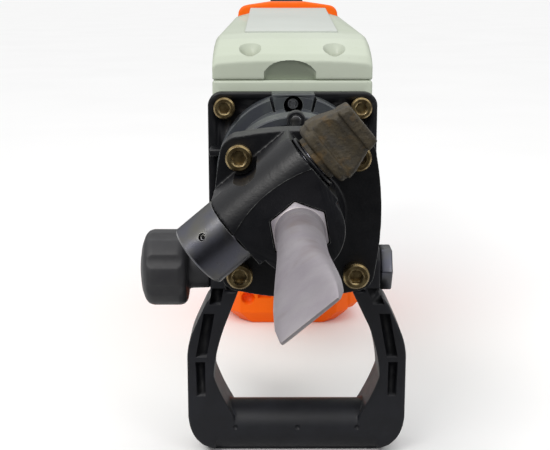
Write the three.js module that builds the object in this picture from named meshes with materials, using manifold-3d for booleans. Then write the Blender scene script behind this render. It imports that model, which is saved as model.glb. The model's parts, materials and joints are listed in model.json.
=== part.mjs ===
// Electric demolition hammer with a 30 mm hexagon shank, built as separate named pieces.
// Millimetres, +Z up. The hammer lies level with its flat chisel towards -Y.
// Inside the hammer group the tool axis is the Y axis and y = 0 is the front cover's flange face.
import * as THREE from "three";
import { mergeVertices } from "three/addons/utils/BufferGeometryUtils.js";
import Module from "manifold-3d";

const wasm = await Module();
wasm.setup();

// ---- driving dimensions --------------------------------------------------------------------
const GAP = 0.3; // air between two pieces that touch on the real machine
const HEX = 30; // width across flats of the tool shank
const FLOOR = -184; // level that the side handle and the tail cover stand on
const LEAN = THREE.MathUtils.degToRad(40); // the retainer axis rises this much to the right

const COVER = { half: 47, corner: 12, bulge: 3.4, depth: 15, screwAt: 35.1, drop: 1.6 };
const COLLAR = { radius: 25.6, mouth: -49.4 };
const FACE = { radius: 78, top: 28.4 }; // round edge of the face that is milled on the collar and the boss
const RETAINER = { offset: 23.4, depth: -30, bossRadius: 20, shaft: 11, from: -29.5, to: 28 };
const SEAT = { radius: 17.2, from: 15.5 }; // counterbore that holds the retainer spring
const SLEEVE = { radius: 19.7, from: -57.1, to: -29.8, pinAt: -44.1, pinTilt: 28.5 };
const LEVER = { from: 34.3, to: 65.5, halfWidth: 19, halfDepth: 15, boreEnd: 46.4 };
const CHISEL = { shankEnd: 100, hexEnd: -51.7, neck: 13.2, tip: -212.5, edge: 31.5 };
const BARREL = { radius: 45, collar: 56, collarFront: 148.6, flangeFront: 172.7, flangeBack: 184.7 };
const FLANGE = { halfX: 63.6, halfZ: 61.8, centreZ: -5.7, corner: 10, screwAt: 50.9, clearance: 13 };
const CASE = { front: 185, back: 425, half: 60.7, bottom: -66, split: 64, wall: 10.5 };
const MOTOR = { y: 401.5, front: 356, back: 462, half: 58, bore: 42.5, tailTop: -150 };
const CHEEK = { half: 68, front: 368, back: 435, low: -172, high: -112 }; // bulge round the brush holders
const REAR = { front: 425.3, back: 505, half: 55.5, top: 117 };
const GRIP = { half: 17, top: 120.5, back: 606 };
const BAND = { front: 66, back: 94, outer: 51 };
const SWING = { y: 80, z: -54, bolt: 6 };
const ARM = { inner: 47, outer: 57, shelf: -66.6, bend: -72, aside: 1.2 }; // the D sits aside below the bend
const LOOP = { front: 61, back: 96, low: -149.4 };
const CRANK = { y: 310, throw: 10, pin: 6, gearTeeth: 54, module: 1.75 };
const LAYSHAFT = { pinionTeeth: 12, gearTeeth: 45, module: 1.25, armatureTeeth: 9 };
const PISTON = { radius: 24.6, front: 206, back: 252 };

const crankMesh = (CRANK.module * (CRANK.gearTeeth + LAYSHAFT.pinionTeeth)) / 2;
const layshaftY = CRANK.y + crankMesh;

// ---- materials -----------------------------------------------------------------------------
function material(color, roughness, metalness) {
  return new THREE.MeshStandardMaterial({ color, roughness, metalness });
}

const greyCasting = material(0xb9bfae, 0.55, 0.1);
const blackCasting = material(0x14181f, 0.35, 0.4);
const gunmetal = material(0x2b2c30, 0.4, 0.7);
const roughCast = material(0x554e41, 0.7, 0.4);
const toolSteel = material(0xa09b9e, 0.5, 0.7);
const zincYellow = material(0xa08a5a, 0.35, 0.8);
const brightSteel = material(0xb8babd, 0.3, 0.9);
const orangePlastic = material(0xff6d05, 0.4, 0);
const blackPlastic = material(0x23252a, 0.55, 0);
const knobPlastic = material(0x3c3c3e, 0.5, 0);
const panelGrey = material(0xcdd0cd, 0.4, 0.2);
const rubber = material(0x1a1a1b, 0.85, 0);
const copper = material(0x9a5a35, 0.4, 0.8);

// ---- solids --------------------------------------------------------------------------------
// A closed triangle mesh becomes a solid for cutting and joining.
function solid(geometry) {
  const bare = geometry.clone();
  bare.deleteAttribute("normal");
  bare.deleteAttribute("uv");
  const merged = mergeVertices(bare, 1e-4);
  const place = merged.attributes.position.array;
  const corners = merged.index.array;
  const kept = [];
  let volume = 0;
  const [a, b, c] = [new THREE.Vector3(), new THREE.Vector3(), new THREE.Vector3()];
  for (let i = 0; i < corners.length; i += 3) {
    const [p, q, r] = [corners[i], corners[i + 1], corners[i + 2]];
    if (p === q || q === r || r === p) continue;
    kept.push(p, q, r);
    volume += a.fromArray(place, 3 * p).dot(b.fromArray(place, 3 * q).cross(c.fromArray(place, 3 * r)));
  }
  if (volume < 0) kept.reverse();
  const mesh = new wasm.Mesh({
    numProp: 3,
    vertProperties: Float32Array.from(place),
    triVerts: Uint32Array.from(kept),
  });
  mesh.merge();
  return new wasm.Manifold(mesh);
}

function geometryOf(body) {
  const mesh = body.getMesh();
  const geometry = new THREE.BufferGeometry();
  geometry.setAttribute("position", new THREE.Float32BufferAttribute(mesh.vertProperties, 3));
  geometry.setIndex(Array.from(mesh.triVerts));
  geometry.computeVertexNormals();
  return geometry;
}

function piece(parent, name, body, finish) {
  const mesh = new THREE.Mesh(geometryOf(body), finish);
  mesh.name = name;
  parent.add(mesh);
  return mesh;
}

function join(...bodies) {
  return bodies.reduce((whole, body) => whole.add(body));
}

// ---- outlines and their solids -------------------------------------------------------------
const X = new THREE.Vector3(1, 0, 0);
const Y = new THREE.Vector3(0, 1, 0);
const Z = new THREE.Vector3(0, 0, 1);
const BACKWARDS = new THREE.Vector3(0, -1, 0);

function polygon(points) {
  return new THREE.Shape(points.map(([x, y]) => new THREE.Vector2(x, y)));
}

function roundedBox(halfX, halfY, radius, cx = 0, cy = 0) {
  const shape = new THREE.Shape();
  shape.absarc(cx + halfX - radius, cy + halfY - radius, radius, 0, Math.PI / 2);
  shape.absarc(cx - halfX + radius, cy + halfY - radius, radius, Math.PI / 2, Math.PI);
  shape.absarc(cx - halfX + radius, cy - halfY + radius, radius, Math.PI, 1.5 * Math.PI);
  shape.absarc(cx + halfX - radius, cy - halfY + radius, radius, 1.5 * Math.PI, 2 * Math.PI);
  return shape;
}

function hexagon(acrossFlats) {
  const corner = acrossFlats / Math.sqrt(3);
  return polygon([0, 1, 2, 3, 4, 5].map((k) => {
    const angle = (k * Math.PI) / 3;
    return [corner * Math.cos(angle), corner * Math.sin(angle)];
  }));
}

// Outline in X and Z, from y0 to y1.
function alongY(shape, y0, y1, curveSegments = 6) {
  const geometry = new THREE.ExtrudeGeometry(shape, { depth: y1 - y0, bevelEnabled: false, curveSegments });
  geometry.applyMatrix4(new THREE.Matrix4().makeBasis(X, Z, BACKWARDS).setPosition(0, y1, 0));
  return solid(geometry);
}

// Outline in Y and Z, from x0 to x1.
function alongX(shape, x0, x1, curveSegments = 6) {
  const geometry = new THREE.ExtrudeGeometry(shape, { depth: x1 - x0, bevelEnabled: false, curveSegments });
  geometry.applyMatrix4(new THREE.Matrix4().makeBasis(Y, Z, X).setPosition(x0, 0, 0));
  return solid(geometry);
}

// Outline in X and Y, from z0 to z1.
function alongZ(shape, z0, z1, curveSegments = 6) {
  const geometry = new THREE.ExtrudeGeometry(shape, { depth: z1 - z0, bevelEnabled: false, curveSegments });
  geometry.translate(0, 0, z0);
  return solid(geometry);
}

// A profile of [radius, height] pairs turned about an axis through `at`.
function turned(axis, profile, sides = 24, at = [0, 0, 0]) {
  const geometry = new THREE.LatheGeometry(profile.map(([r, h]) => new THREE.Vector2(r, h)), sides);
  geometry.applyQuaternion(new THREE.Quaternion().setFromUnitVectors(Y, axis));
  geometry.translate(...at);
  return solid(geometry);
}

function rod(axis, radius, from, to, sides = 24, at = [0, 0, 0]) {
  return turned(axis, [[0, from], [radius, from], [radius, to], [0, to]], sides, at);
}

function ring(axis, inner, outer, from, to, sides = 24, at = [0, 0, 0]) {
  const profile = [[inner, from], [outer, from], [outer, to], [inner, to], [inner, from]];
  return turned(axis, profile, sides, at);
}

function box(x0, x1, y0, y1, z0, z1) {
  const geometry = new THREE.BoxGeometry(x1 - x0, y1 - y0, z1 - z0);
  geometry.translate((x0 + x1) / 2, (y0 + y1) / 2, (z0 + z1) / 2);
  return solid(geometry);
}

// Rings of equal point count, joined in order and capped at both ends.
function loft(rings) {
  const count = rings[0].length;
  const vertices = rings.flat().flatMap((p) => [p.x, p.y, p.z]);
  const faces = [];
  for (let r = 0; r < rings.length - 1; r += 1) {
    for (let k = 0; k < count; k += 1) {
      const next = (k + 1) % count;
      const [a, b] = [r * count + k, r * count + next];
      faces.push(a, b, b + count, a, b + count, a + count);
    }
  }
  const last = (rings.length - 1) * count;
  for (let k = 1; k < count - 1; k += 1) {
    faces.push(0, k + 1, k, last, last + k, last + k + 1);
  }
  const geometry = new THREE.BufferGeometry();
  geometry.setAttribute("position", new THREE.Float32BufferAttribute(vertices, 3));
  geometry.setIndex(faces);
  return solid(geometry);
}

// Rounded-rectangle section in X and Z at depth y, as a superellipse.
function section(y, halfX, halfZ, power, count, centreZ = 0) {
  return Array.from({ length: count }, (_, k) => {
    const angle = (2 * Math.PI * k) / count;
    const [c, s] = [Math.cos(angle), Math.sin(angle)];
    const reach = (Math.abs(c) ** power + Math.abs(s) ** power) ** (-1 / power);
    return new THREE.Vector3(halfX * reach * c, y, centreZ + halfZ * reach * s);
  });
}

// Bodies drawn in the retainer's leaning frame are turned into the hammer's frame.
function lean(body) {
  return body.rotate([0, -THREE.MathUtils.radToDeg(LEAN), 0]);
}

function mirrorX(body) {
  return body.mirror([1, 0, 0]);
}

// Hexagon-socket cap screw with its head towards -Y and its seat at y = 0.
function capScrew(thread, length, sides = 14) {
  const [head, shank] = [0.8 * thread, thread / 2];
  const profile = [
    [0, -thread], [head - 1, -thread], [head, -thread + 1], [head, 0],
    [shank, 0], [shank, length], [0, length],
  ];
  return turned(Y, profile, sides).subtract(alongY(hexagon(0.8 * thread), -thread - 1, -thread / 2));
}

const SIGNS = [[-1, 1], [1, 1], [-1, -1], [1, -1]];
const CORNERS = ["upper_left", "upper_right", "lower_left", "lower_right"];

// ---- front end -----------------------------------------------------------------------------
// Rounded square with sides that swell outwards.
function coverOutline(scale) {
  const reach = COVER.half * scale;
  const centre = COVER.half - COVER.corner;
  const low = centre + COVER.drop;
  const control = reach + 2 * COVER.bulge;
  const shape = new THREE.Shape();
  shape.absarc(centre, centre, COVER.corner * scale, 0, Math.PI / 2);
  shape.quadraticCurveTo(0, control, -centre, reach);
  shape.absarc(-centre, centre, COVER.corner * scale, Math.PI / 2, Math.PI);
  shape.quadraticCurveTo(-control, 0, -reach, -low);
  shape.absarc(-centre, -low, COVER.corner * scale, Math.PI, 1.5 * Math.PI);
  shape.quadraticCurveTo(0, -control - COVER.drop - 1, centre, -reach - COVER.drop);
  shape.absarc(centre, -low, COVER.corner * scale, 1.5 * Math.PI, 2 * Math.PI);
  shape.quadraticCurveTo(control, 0, reach, centre);
  return shape;
}

function coverScrewPlaces() {
  return SIGNS.map(([sx, sz]) => [sx * COVER.screwAt, 0, sz * COVER.screwAt - (sz < 0 ? COVER.drop : 0)]);
}

function coverScrewHoles(radius, y0, y1) {
  return join(...coverScrewPlaces().map((at) => rod(Y, radius, y0, y1, 16, at)));
}

function retainerBore(radius, from, to, sides = 32) {
  return rod(X, radius, from, to, sides, [0, RETAINER.depth, RETAINER.offset]);
}

function frontCover() {
  const plate = alongY(coverOutline(1), 0, COVER.depth, 8);
  const collar = turned(Y, [
    [0, COLLAR.mouth], [COLLAR.radius - 4, COLLAR.mouth], [COLLAR.radius - 1, COLLAR.mouth + 1.5],
    [COLLAR.radius, COLLAR.mouth + 4], [COLLAR.radius, -3], [COLLAR.radius + 3, 0.5], [0, 0.5],
  ], 40);
  const boss = retainerBore(RETAINER.bossRadius, RETAINER.from, RETAINER.to, 40);
  const high = RETAINER.offset + RETAINER.bossRadius;
  const web = join(
    box(RETAINER.from, RETAINER.to, RETAINER.depth, 0.5, 0, high),
    box(RETAINER.from, RETAINER.to, COLLAR.mouth, 0.5, 0, RETAINER.offset),
  );
  const [sx, sz] = [-COVER.screwAt, COVER.screwAt];
  const relief = rod(Y, 9.6, -70, 0, 20, [sx, 0, sz]);
  const milled = rod(Y, FACE.radius, -60, COLLAR.mouth, 64, [0, 0, FACE.top - FACE.radius]);
  const grown = join(plate, lean(join(collar, boss.subtract(milled), web))).subtract(relief);
  const hex = alongY(hexagon(HEX + 0.6), COLLAR.mouth - 1, COVER.depth + 1);
  const bore = retainerBore(RETAINER.shaft + GAP, RETAINER.from - 1, RETAINER.to + 1, 24);
  const springSeat = retainerBore(SEAT.radius, SEAT.from, RETAINER.to + 1, 24);
  const inside = lean(join(hex, bore, springSeat));
  return grown.subtract(inside).subtract(coverScrewHoles(5.4, -1, COVER.depth + 1));
}

function chisel() {
  const stations = [
    [-56, CHISEL.neck, CHISEL.neck, 2], [-112, CHISEL.neck, CHISEL.neck, 2.05],
    [-140, 14.4, 11.4, 2.6], [-165, 16.2, 8.6, 3.4], [-188, 17, 5.8, 5], [-199, 17, 4.6, 6],
    [CHISEL.tip + 1, CHISEL.edge / 2, 1, 6], [CHISEL.tip, CHISEL.edge / 2 - 0.6, 0.6, 6],
  ];
  const blade = loft(stations.map(([y, a, b, power]) => section(y, a, b, power, 24)));
  const shank = alongY(hexagon(HEX), CHISEL.hexEnd, CHISEL.shankEnd);
  const corner = HEX / Math.sqrt(3);
  const rounding = turned(Y, [
    [0, CHISEL.hexEnd], [HEX / 2 - 0.4, CHISEL.hexEnd], [corner + 0.5, CHISEL.hexEnd + 3],
    [corner + 0.5, CHISEL.shankEnd - 4], [HEX / 2 - 2, CHISEL.shankEnd], [0, CHISEL.shankEnd],
  ], 24);
  const neck = turned(Y, [
    [0, -58], [CHISEL.neck, -58], [HEX / 2 - 0.6, CHISEL.hexEnd + 0.5], [0, CHISEL.hexEnd + 0.5],
  ], 28);
  const notchDepth = RETAINER.offset - RETAINER.shaft - 0.6;
  const notch = box(-20, 20, RETAINER.depth - RETAINER.shaft - 5.8, 3, notchDepth, 20);
  return join(blade, neck, shank.intersect(rounding)).subtract(notch);
}

function retainerShaft() {
  const stem = retainerBore(RETAINER.shaft, -52, LEVER.boreEnd - 0.4, 24);
  const escape = box(-18, 18, -50, -10, 2 * RETAINER.offset - HEX / 2 - 0.4, 60);
  return stem.subtract(escape).subtract(rollPinBore(2.6));
}

function rollPinBore(radius) {
  const tilt = THREE.MathUtils.degToRad(SLEEVE.pinTilt);
  const direction = new THREE.Vector3(0, -Math.cos(tilt), Math.sin(tilt));
  return rod(direction, radius, -30, 30, 12, [SLEEVE.pinAt, RETAINER.depth, RETAINER.offset]);
}

function retainerSleeve() {
  const outer = turned(X, [
    [0, SLEEVE.from], [SLEEVE.radius - 2, SLEEVE.from], [SLEEVE.radius, SLEEVE.from + 2],
    [SLEEVE.radius, SLEEVE.to - 1], [SLEEVE.radius - 1, SLEEVE.to], [0, SLEEVE.to],
  ], 40, [0, RETAINER.depth, RETAINER.offset]);
  const bore = retainerBore(RETAINER.shaft + GAP, -52.3, SLEEVE.to + 1, 24);
  return outer.subtract(bore).subtract(rollPinBore(2.4));
}

function retainerRollPin() {
  const tilt = THREE.MathUtils.degToRad(SLEEVE.pinTilt);
  const direction = new THREE.Vector3(0, -Math.cos(tilt), Math.sin(tilt));
  return ring(direction, 0.9, 2, -18.4, 18.4, 12, [SLEEVE.pinAt, RETAINER.depth, RETAINER.offset]);
}

// Rough cast turning handle: a collar, a dished body with a raised inner lip, and an outer rib.
function retainerLever() {
  const [y, z] = [RETAINER.depth, RETAINER.offset];
  const block = (x0, x1, halfZ, halfY, shift = 0) =>
    alongX(roundedBox(halfY, halfZ, Math.min(halfY, halfZ, 10) - 0.1, y, z + shift), x0, x1, 4);
  const body = join(
    block(LEVER.from, 43, LEVER.halfWidth, LEVER.halfDepth),
    block(42, 59, 16.4, 11.5, -0.4),
    block(57, LEVER.to, 13.4, LEVER.halfDepth, -0.8),
  );
  const collar = retainerBore(14, 30.9, LEVER.from + 1, 24);
  return join(body, collar).subtract(retainerBore(RETAINER.shaft + GAP, 30, LEVER.boreEnd, 28));
}

// Coil of `turns` round wire about the retainer axis.
function retainerSpring() {
  const [turns, meanRadius, wire, from, to] = [3, 14, 0.8, 17, 27.4];
  const steps = turns * 12;
  const points = Array.from({ length: steps + 1 }, (_, k) => {
    const angle = (2 * Math.PI * k) / 12;
    return new THREE.Vector3(
      from + ((to - from) * k) / steps,
      RETAINER.depth + meanRadius * Math.cos(angle),
      RETAINER.offset + meanRadius * Math.sin(angle),
    );
  });
  const path = new THREE.CatmullRomCurve3(points);
  const circle = new THREE.Shape().absarc(0, 0, wire, 0, 2 * Math.PI);
  return solid(new THREE.ExtrudeGeometry(circle, { steps, extrudePath: path, curveSegments: 3 }));
}

function toolGuide() {
  const outer = ring(Y, 1, 26.6, COVER.depth + GAP + 0.2, 104, 32);
  return outer.subtract(lean(alongY(hexagon(HEX + 0.6), 0, 110)));
}

// ---- cylinder case -------------------------------------------------------------------------
const TAB_SCREW = [0, 0, 49];
const OIL_PLUG = [0, 0, 49.3];

function flangeScrewPlaces() {
  return SIGNS.map(([sx, sz]) => [sx * FLANGE.screwAt, 0, FLANGE.centreZ + sz * FLANGE.screwAt]);
}

// Narrow slot between the collar and one side of the tab.
function tabSlot(side) {
  const outline = [[12.6, 44], [14.6, 44], [18.7, 59], [15.6, 59]].map(([x, z]) => [side * x, z]);
  return alongY(polygon(side > 0 ? outline : outline.reverse()), BARREL.collarFront - 2, 166);
}

function cylinderCase() {
  const front = COVER.depth + GAP;
  const { radius, collar, collarFront } = BARREL;
  const tab = polygon([[-15.8, 57], [-12.8, 42], [12.8, 42], [15.8, 57]]);
  const outside = join(
    alongY(coverOutline(0.985), front, front + 13, 6),
    rod(Y, radius, front + 12, 168, 40),
    turned(Y, [
      [0, collarFront - 1], [collar - 2, collarFront - 1], [collar, collarFront + 1], [collar, 173], [0, 173],
    ], 40),
    alongY(roundedBox(FLANGE.halfX, FLANGE.halfZ, FLANGE.corner, 0, FLANGE.centreZ), BARREL.flangeFront,
      BARREL.flangeBack, 5),
    alongY(tab, collarFront, 174),
    box(-62, -50, 150, 173, 11, 17),
    rod(Y, 6, 56, BAND.front - 0.6, 20, OIL_PLUG),
  );
  const bores = join(
    rod(Y, 27, front - 1, 160),
    rod(Y, 30.4, 158, BARREL.flangeBack + 1),
    coverScrewHoles(5.4, front - 1, front + 20),
    ...flangeScrewPlaces().map((at) => rod(Y, 5.4, 160, 190, 16, at)),
    ...flangeScrewPlaces().map((at) => rod(Y, FLANGE.clearance, 140, BARREL.flangeFront - 0.1, 20, at)),
    rod(Y, 7, 140, 168, 20, TAB_SCREW),
    rod(Y, 3.4, 160, 182, 12, TAB_SCREW),
    rod(Y, 3.9, 55, 62, 14, OIL_PLUG),
    tabSlot(1),
    tabSlot(-1),
  );
  return outside.subtract(bores);
}

// ---- percussion parts ----------------------------------------------------------------------
function impactBolt() {
  const profile = [
    [0, 108], [11, 108], [12.6, 110], [12.6, 122], [24, 123], [24, 138], [13, 140], [13, 152], [0, 152],
  ];
  return turned(Y, profile, 20);
}

function striker() {
  return turned(Y, [[0, 162], [14, 162], [15, 163], [15, 168], [24.4, 169], [24.4, 190], [0, 190]], 20);
}

function piston() {
  const profile = [
    [0, PISTON.front], [PISTON.radius - 1, PISTON.front], [PISTON.radius, PISTON.front + 1],
    [PISTON.radius, PISTON.back], [20, PISTON.back], [20, PISTON.front + 8], [0, PISTON.front + 8],
  ];
  return turned(Y, profile, 24);
}

function connectingRod() {
  const [bigEnd, smallEnd] = [CRANK.y - CRANK.throw, 238];
  const body = join(
    rod(Z, 13, -6, 6, 24, [0, bigEnd, 0]),
    rod(Z, 8, -6, 6, 20, [0, smallEnd, 0]),
    box(-6, 6, smallEnd, bigEnd, -4, 4),
  );
  const eyes = join(
    rod(Z, CRANK.pin + 0.3, -7, 7, 20, [0, bigEnd, 0]),
    rod(Z, 4.8, -7, 7, 16, [0, smallEnd, 0]),
  );
  return body.subtract(eyes);
}

function crankshaft() {
  const at = [0, CRANK.y, 0];
  return join(
    rod(Z, 10, -61, -20, 24, at),
    rod(Z, 25, -23, -13, 24, at),
    rod(Z, CRANK.pin, -14, 8, 20, [0, CRANK.y - CRANK.throw, 0]),
  );
}

// Spur gear about Z with straight-flanked teeth; `turn` is the angle of its first tooth.
function gear(teeth, module, z0, z1, bore, at, turn = 0) {
  const pitch = (teeth * module) / 2;
  const step = (2 * Math.PI) / teeth;
  const [tip, root] = [pitch + 0.8 * module, pitch - 1.05 * module];
  const points = [];
  for (let k = 0; k < teeth; k += 1) {
    const middle = turn + k * step;
    const corners = [[root, -0.3], [tip, -0.12], [tip, 0.12], [root, 0.3]];
    for (const [radius, share] of corners) {
      const angle = middle + share * step;
      points.push([radius * Math.cos(angle), radius * Math.sin(angle)]);
    }
  }
  const shape = polygon(points);
  shape.holes.push(new THREE.Path().absarc(0, 0, bore, 0, 2 * Math.PI));
  return alongZ(shape, z0, z1, 12).translate(at);
}

// ---- crank case ----------------------------------------------------------------------------
const COVER_SCREWS = [[-32, 197, 78], [32, 197, 78], [-46, 411, 97], [46, 411, 97]];
const CREST = { front: 235, low: 97, high: 112 }; // middle of the cover's long top face

function crankCase() {
  const shell = alongY(
    roundedBox(CASE.half, (CASE.split - CASE.bottom) / 2, 8, 0, (CASE.split + CASE.bottom) / 2),
    CASE.front, CASE.back, 4,
  ).add(box(-CASE.half, CASE.half, CASE.front, CASE.back, CASE.split - 12, CASE.split));
  const inner = CASE.half - CASE.wall;
  const cavity = box(-inner, inner, CASE.front + 20, CASE.back - 10, -50, CASE.split + 1);
  const posts = join(...COVER_SCREWS.map(([x, y]) => box(x - 9, x + 9, y - 9, y + 9, 40, CASE.split)));
  const keep = posts.intersect(box(-CASE.half, CASE.half, CASE.front, CASE.back, 0, CASE.split));
  const seats = join(
    rod(Y, 30.4, CASE.front - 1, CASE.front + 21),
    rod(Z, 16.3, -62, -40, 24, [0, CRANK.y, 0]),
    rod(Z, 6.7, -62, -40, 24, [0, layshaftY, 0]),
    rod(Z, 14.3, CASE.bottom - 1, -40, 24, [0, MOTOR.y, 0]),
    ...flangeScrewPlaces().map((at) => rod(Y, 5.4, CASE.front - 1, CASE.front + 16, 12, at)),
    ...COVER_SCREWS.map(([x, y]) => rod(Z, 4.3, 45, CASE.split + 1, 12, [x, y, 0])),
  );
  return shell.subtract(cavity).add(keep).subtract(seats);
}

function bearingBridge() {
  const plate = box(-49.8, 49.8, 270, 392, -31, -24);
  const holes = join(
    rod(Z, 16.3, -32, -20, 24, [0, CRANK.y, 0]),
    rod(Z, 6.7, -32, -20, 24, [0, layshaftY, 0]),
    rod(Z, 10, -32, -20, 16, [0, MOTOR.y, 0]),
  );
  return plate.subtract(holes);
}

// Section of the cover at depth y: side wall, chamfer and a slightly crowned top.
function coverRing(y, half, wallTop, shoulder, shoulderTop, middle) {
  const bottom = CASE.split + GAP;
  const right = [[half, bottom], [half, wallTop], [shoulder, shoulderTop], [shoulder * 0.45, middle]];
  const left = right.map(([x, z]) => [-x, z]).reverse();
  return [...right, ...left].map(([x, z]) => new THREE.Vector3(x, y, z));
}

function crankCover() {
  const bottom = CASE.split + GAP;
  const body = loft([
    coverRing(CASE.front, CASE.half, 74, 57, 77, 79),
    coverRing(CASE.front + 5, CASE.half, 78, 56.6, 82, 83.5),
    coverRing(CASE.front + 15, CASE.half, 82, 56.3, 88, 89),
    coverRing(CASE.front + 30, CASE.half, 85.5, 56, 93, 94),
    coverRing(CREST.front, CASE.half, 88, 55.5, 96, CREST.low),
    coverRing(CASE.back, 58, 99, 50, 107, CREST.high),
  ]);
  const arch = new THREE.Shape();
  arch.moveTo(-21.5, bottom - 1);
  arch.lineTo(-21.5, 70);
  arch.quadraticCurveTo(-16, 79, -1.7, 79);
  arch.quadraticCurveTo(12, 79, 18, 70);
  arch.lineTo(18, bottom - 1);
  const alcove = alongY(arch, CASE.front - 1, CASE.front + 4.5, 5);
  const inner = CASE.half - CASE.wall;
  const cavity = box(-inner, inner, CASE.front + 32, CASE.back - 24, bottom - 1, 78);
  const pockets = join(...COVER_SCREWS.map(([x, y, z]) => rod(Z, 8.2, z - 6, z + 30, 20, [x, y, 0])));
  const holes = join(...COVER_SCREWS.map(([x, y]) => rod(Z, 4.3, 50, 110, 12, [x, y, 0])));
  return body.subtract(join(alcove, cavity, pockets, holes));
}

function coverScrew([x, y, z]) {
  const upright = capScrew(8, z - 6 - 52).rotate([-90, 0, 0]);
  return upright.translate([x, y, z - 6 + GAP]);
}

function labelPanel() {
  const slope = (CREST.high - CREST.low) / (CASE.back - CREST.front);
  const edge = (y, half) => {
    const z = CREST.low + slope * (y - CREST.front) + GAP;
    const corners = [[half, z], [half - 1, z + 1.5], [-half + 1, z + 1.5], [-half, z]];
    return corners.map(([x, height]) => new THREE.Vector3(x, y, height));
  };
  return loft([edge(240, 37), edge(418, 36)]);
}

// ---- motor ---------------------------------------------------------------------------------
// Plan outline of the motor housing: flat front with chamfered corners, rounded back.
function motorOutline(grow = 0) {
  const [half, front, back] = [MOTOR.half + grow, MOTOR.front - grow, MOTOR.back + grow];
  return polygon([
    [-half + 12, front], [half - 12, front], [half, front + 12], [half, back - 24],
    [half - 22, back], [-half + 22, back], [-half, back - 24], [-half, front + 12],
  ]);
}

// Bulge on both sides for the brush holders: rectangle in plan with cut corners, from level to level.
function cheeks(levels) {
  const { front, back } = CHEEK;
  const cut = 8;
  return loft(levels.map(([z, half]) => [
    [-half + cut, front], [half - cut, front], [half, front + cut], [half, back - cut],
    [half - cut, back], [-half + cut, back], [-half, back - cut], [-half, front + cut],
  ].map(([x, y]) => new THREE.Vector3(x, y, z))));
}

function motorHousing() {
  const top = CASE.bottom - GAP;
  const bulge = cheeks([
    [MOTOR.tailTop, CHEEK.half], [CHEEK.high - 9, CHEEK.half], [CHEEK.high, MOTOR.half - 1],
  ]);
  const shell = alongZ(motorOutline(), MOTOR.tailTop, top, 5).add(bulge);
  const cap = 8;
  const bore = rod(Z, MOTOR.bore, MOTOR.tailTop - 1, top - cap, 32, [0, MOTOR.y, 0]);
  const mouth = rod(Z, 15, top - cap - 1, top + 1, 24, [0, MOTOR.y, 0]);
  const slot = (y) => box(-70, 70, y, y + 4, -92, -78);
  const vents = join(...[11, 20, 29].map((back) => slot(MOTOR.y + back)));
  return shell.subtract(join(bore, mouth, vents));
}

// Bottom cap whose lower edges are chamfered all round.
function tailCover() {
  const top = MOTOR.tailTop - GAP;
  const ringAt = (z, inset) => {
    const half = MOTOR.half - inset;
    const [front, back] = [MOTOR.front + 0.55 * inset, MOTOR.back - inset];
    return [
      [-half + 12, front], [half - 12, front], [half, front + 12], [half, back - 24],
      [half - 22, back], [-half + 22, back], [-half, back - 24], [-half, front + 12],
    ].map(([x, y]) => new THREE.Vector3(x, y, z));
  };
  const chamfer = 12;
  const body = loft([ringAt(top, 0), ringAt(FLOOR + chamfer, 0), ringAt(FLOOR, chamfer)]);
  const bulge = cheeks([[top, CHEEK.half], [CHEEK.low + 5, CHEEK.half], [CHEEK.low, CHEEK.half - 5]]);
  const hollow = rod(Z, 40, FLOOR + 6, top + 1, 32, [0, MOTOR.y, 0]);
  const seat = ring(Z, 11.3, 15, FLOOR + 5, -168, 24, [0, MOTOR.y, 0]);
  const wells = join(...[-1, 1].map((side) => join(
    rod(Y, 6.5, 340, MOTOR.front + 9, 20, [side * 38.4, 0, -157.6]),
    box(side * 22.5 - 6.5, side * 22.5 + 6.5, 340, MOTOR.front + 4, -158, -153),
  )));
  return body.add(bulge).subtract(hollow).add(seat).subtract(wells);
}

function armature() {
  const at = [0, MOTOR.y, 0];
  const shaft = join(
    rod(Z, 4.2, -66, -11, 16, at), rod(Z, 6, -176, -24.6, 20, at), rod(Z, 27, -142, -96, 24, at),
    rod(Z, 17, -166, -148, 24, at),
  );
  const pinion = gear(LAYSHAFT.armatureTeeth, LAYSHAFT.module, -24.6, -12, 1, at, -Math.PI / 2);
  return join(shaft.subtract(rod(Z, 40, -24.6, 0, 16, at)), pinion, rod(Z, 1.5, -26, -12, 12, at));
}

function fan() {
  const at = [0, MOTOR.y, 0];
  const hub = join(rod(Z, 39, -90, -87, 24, at), rod(Z, 11, -90, -78, 20, at));
  const blade = box(10, 38, -1, 1, -88, -78);
  const blades = Array.from({ length: 8 }, (_, k) => blade.rotate([0, 0, 45 * k]).translate(at));
  return join(hub, ...blades).subtract(rod(Z, 6.3, -91, -70, 20, at));
}

function stator() {
  const at = [0, MOTOR.y, 0];
  const core = ring(Z, 28, 42, -140, -98, 24, at);
  const coils = ring(Z, 30, 39, -146, -94, 24, at);
  return join(core, coils);
}

const BRUSH_Z = -158.5;

function brushCap() {
  const seat = CHEEK.half - 5;
  return turned(X, [
    [0, 37], [5, 37], [5, seat], [7, seat], [7, seat + 3.5], [6, seat + 4.5], [0, seat + 4.5],
  ], 16, [0, MOTOR.y, BRUSH_Z]);
}

// ---- rear housing and rear handle ------------------------------------------------------------
function rearHousing() {
  const ringAt = (y, half, low, high, crown) => [
    [half, low], [half, high - 10], [half - 5, high - 2], [half * 0.4, high + crown],
    [-half * 0.4, high + crown], [-half + 5, high - 2], [-half, high - 10], [-half, low],
  ].map(([x, z]) => new THREE.Vector3(x, y, z));
  const [half, low, top] = [REAR.half, CASE.bottom, REAR.top];
  const body = loft([
    ringAt(REAR.front, half, low, top, 1.5), ringAt(480, half - 3, low, top, 1.5),
    ringAt(REAR.back, half - 18, low + 14, top - 6, 1.5),
  ]);
  return body.subtract(box(-44, 44, REAR.front - 1, REAR.back - 27, -56, 98));
}

const TRIGGER_PIVOT = { y: 566, z: 74 };

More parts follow.
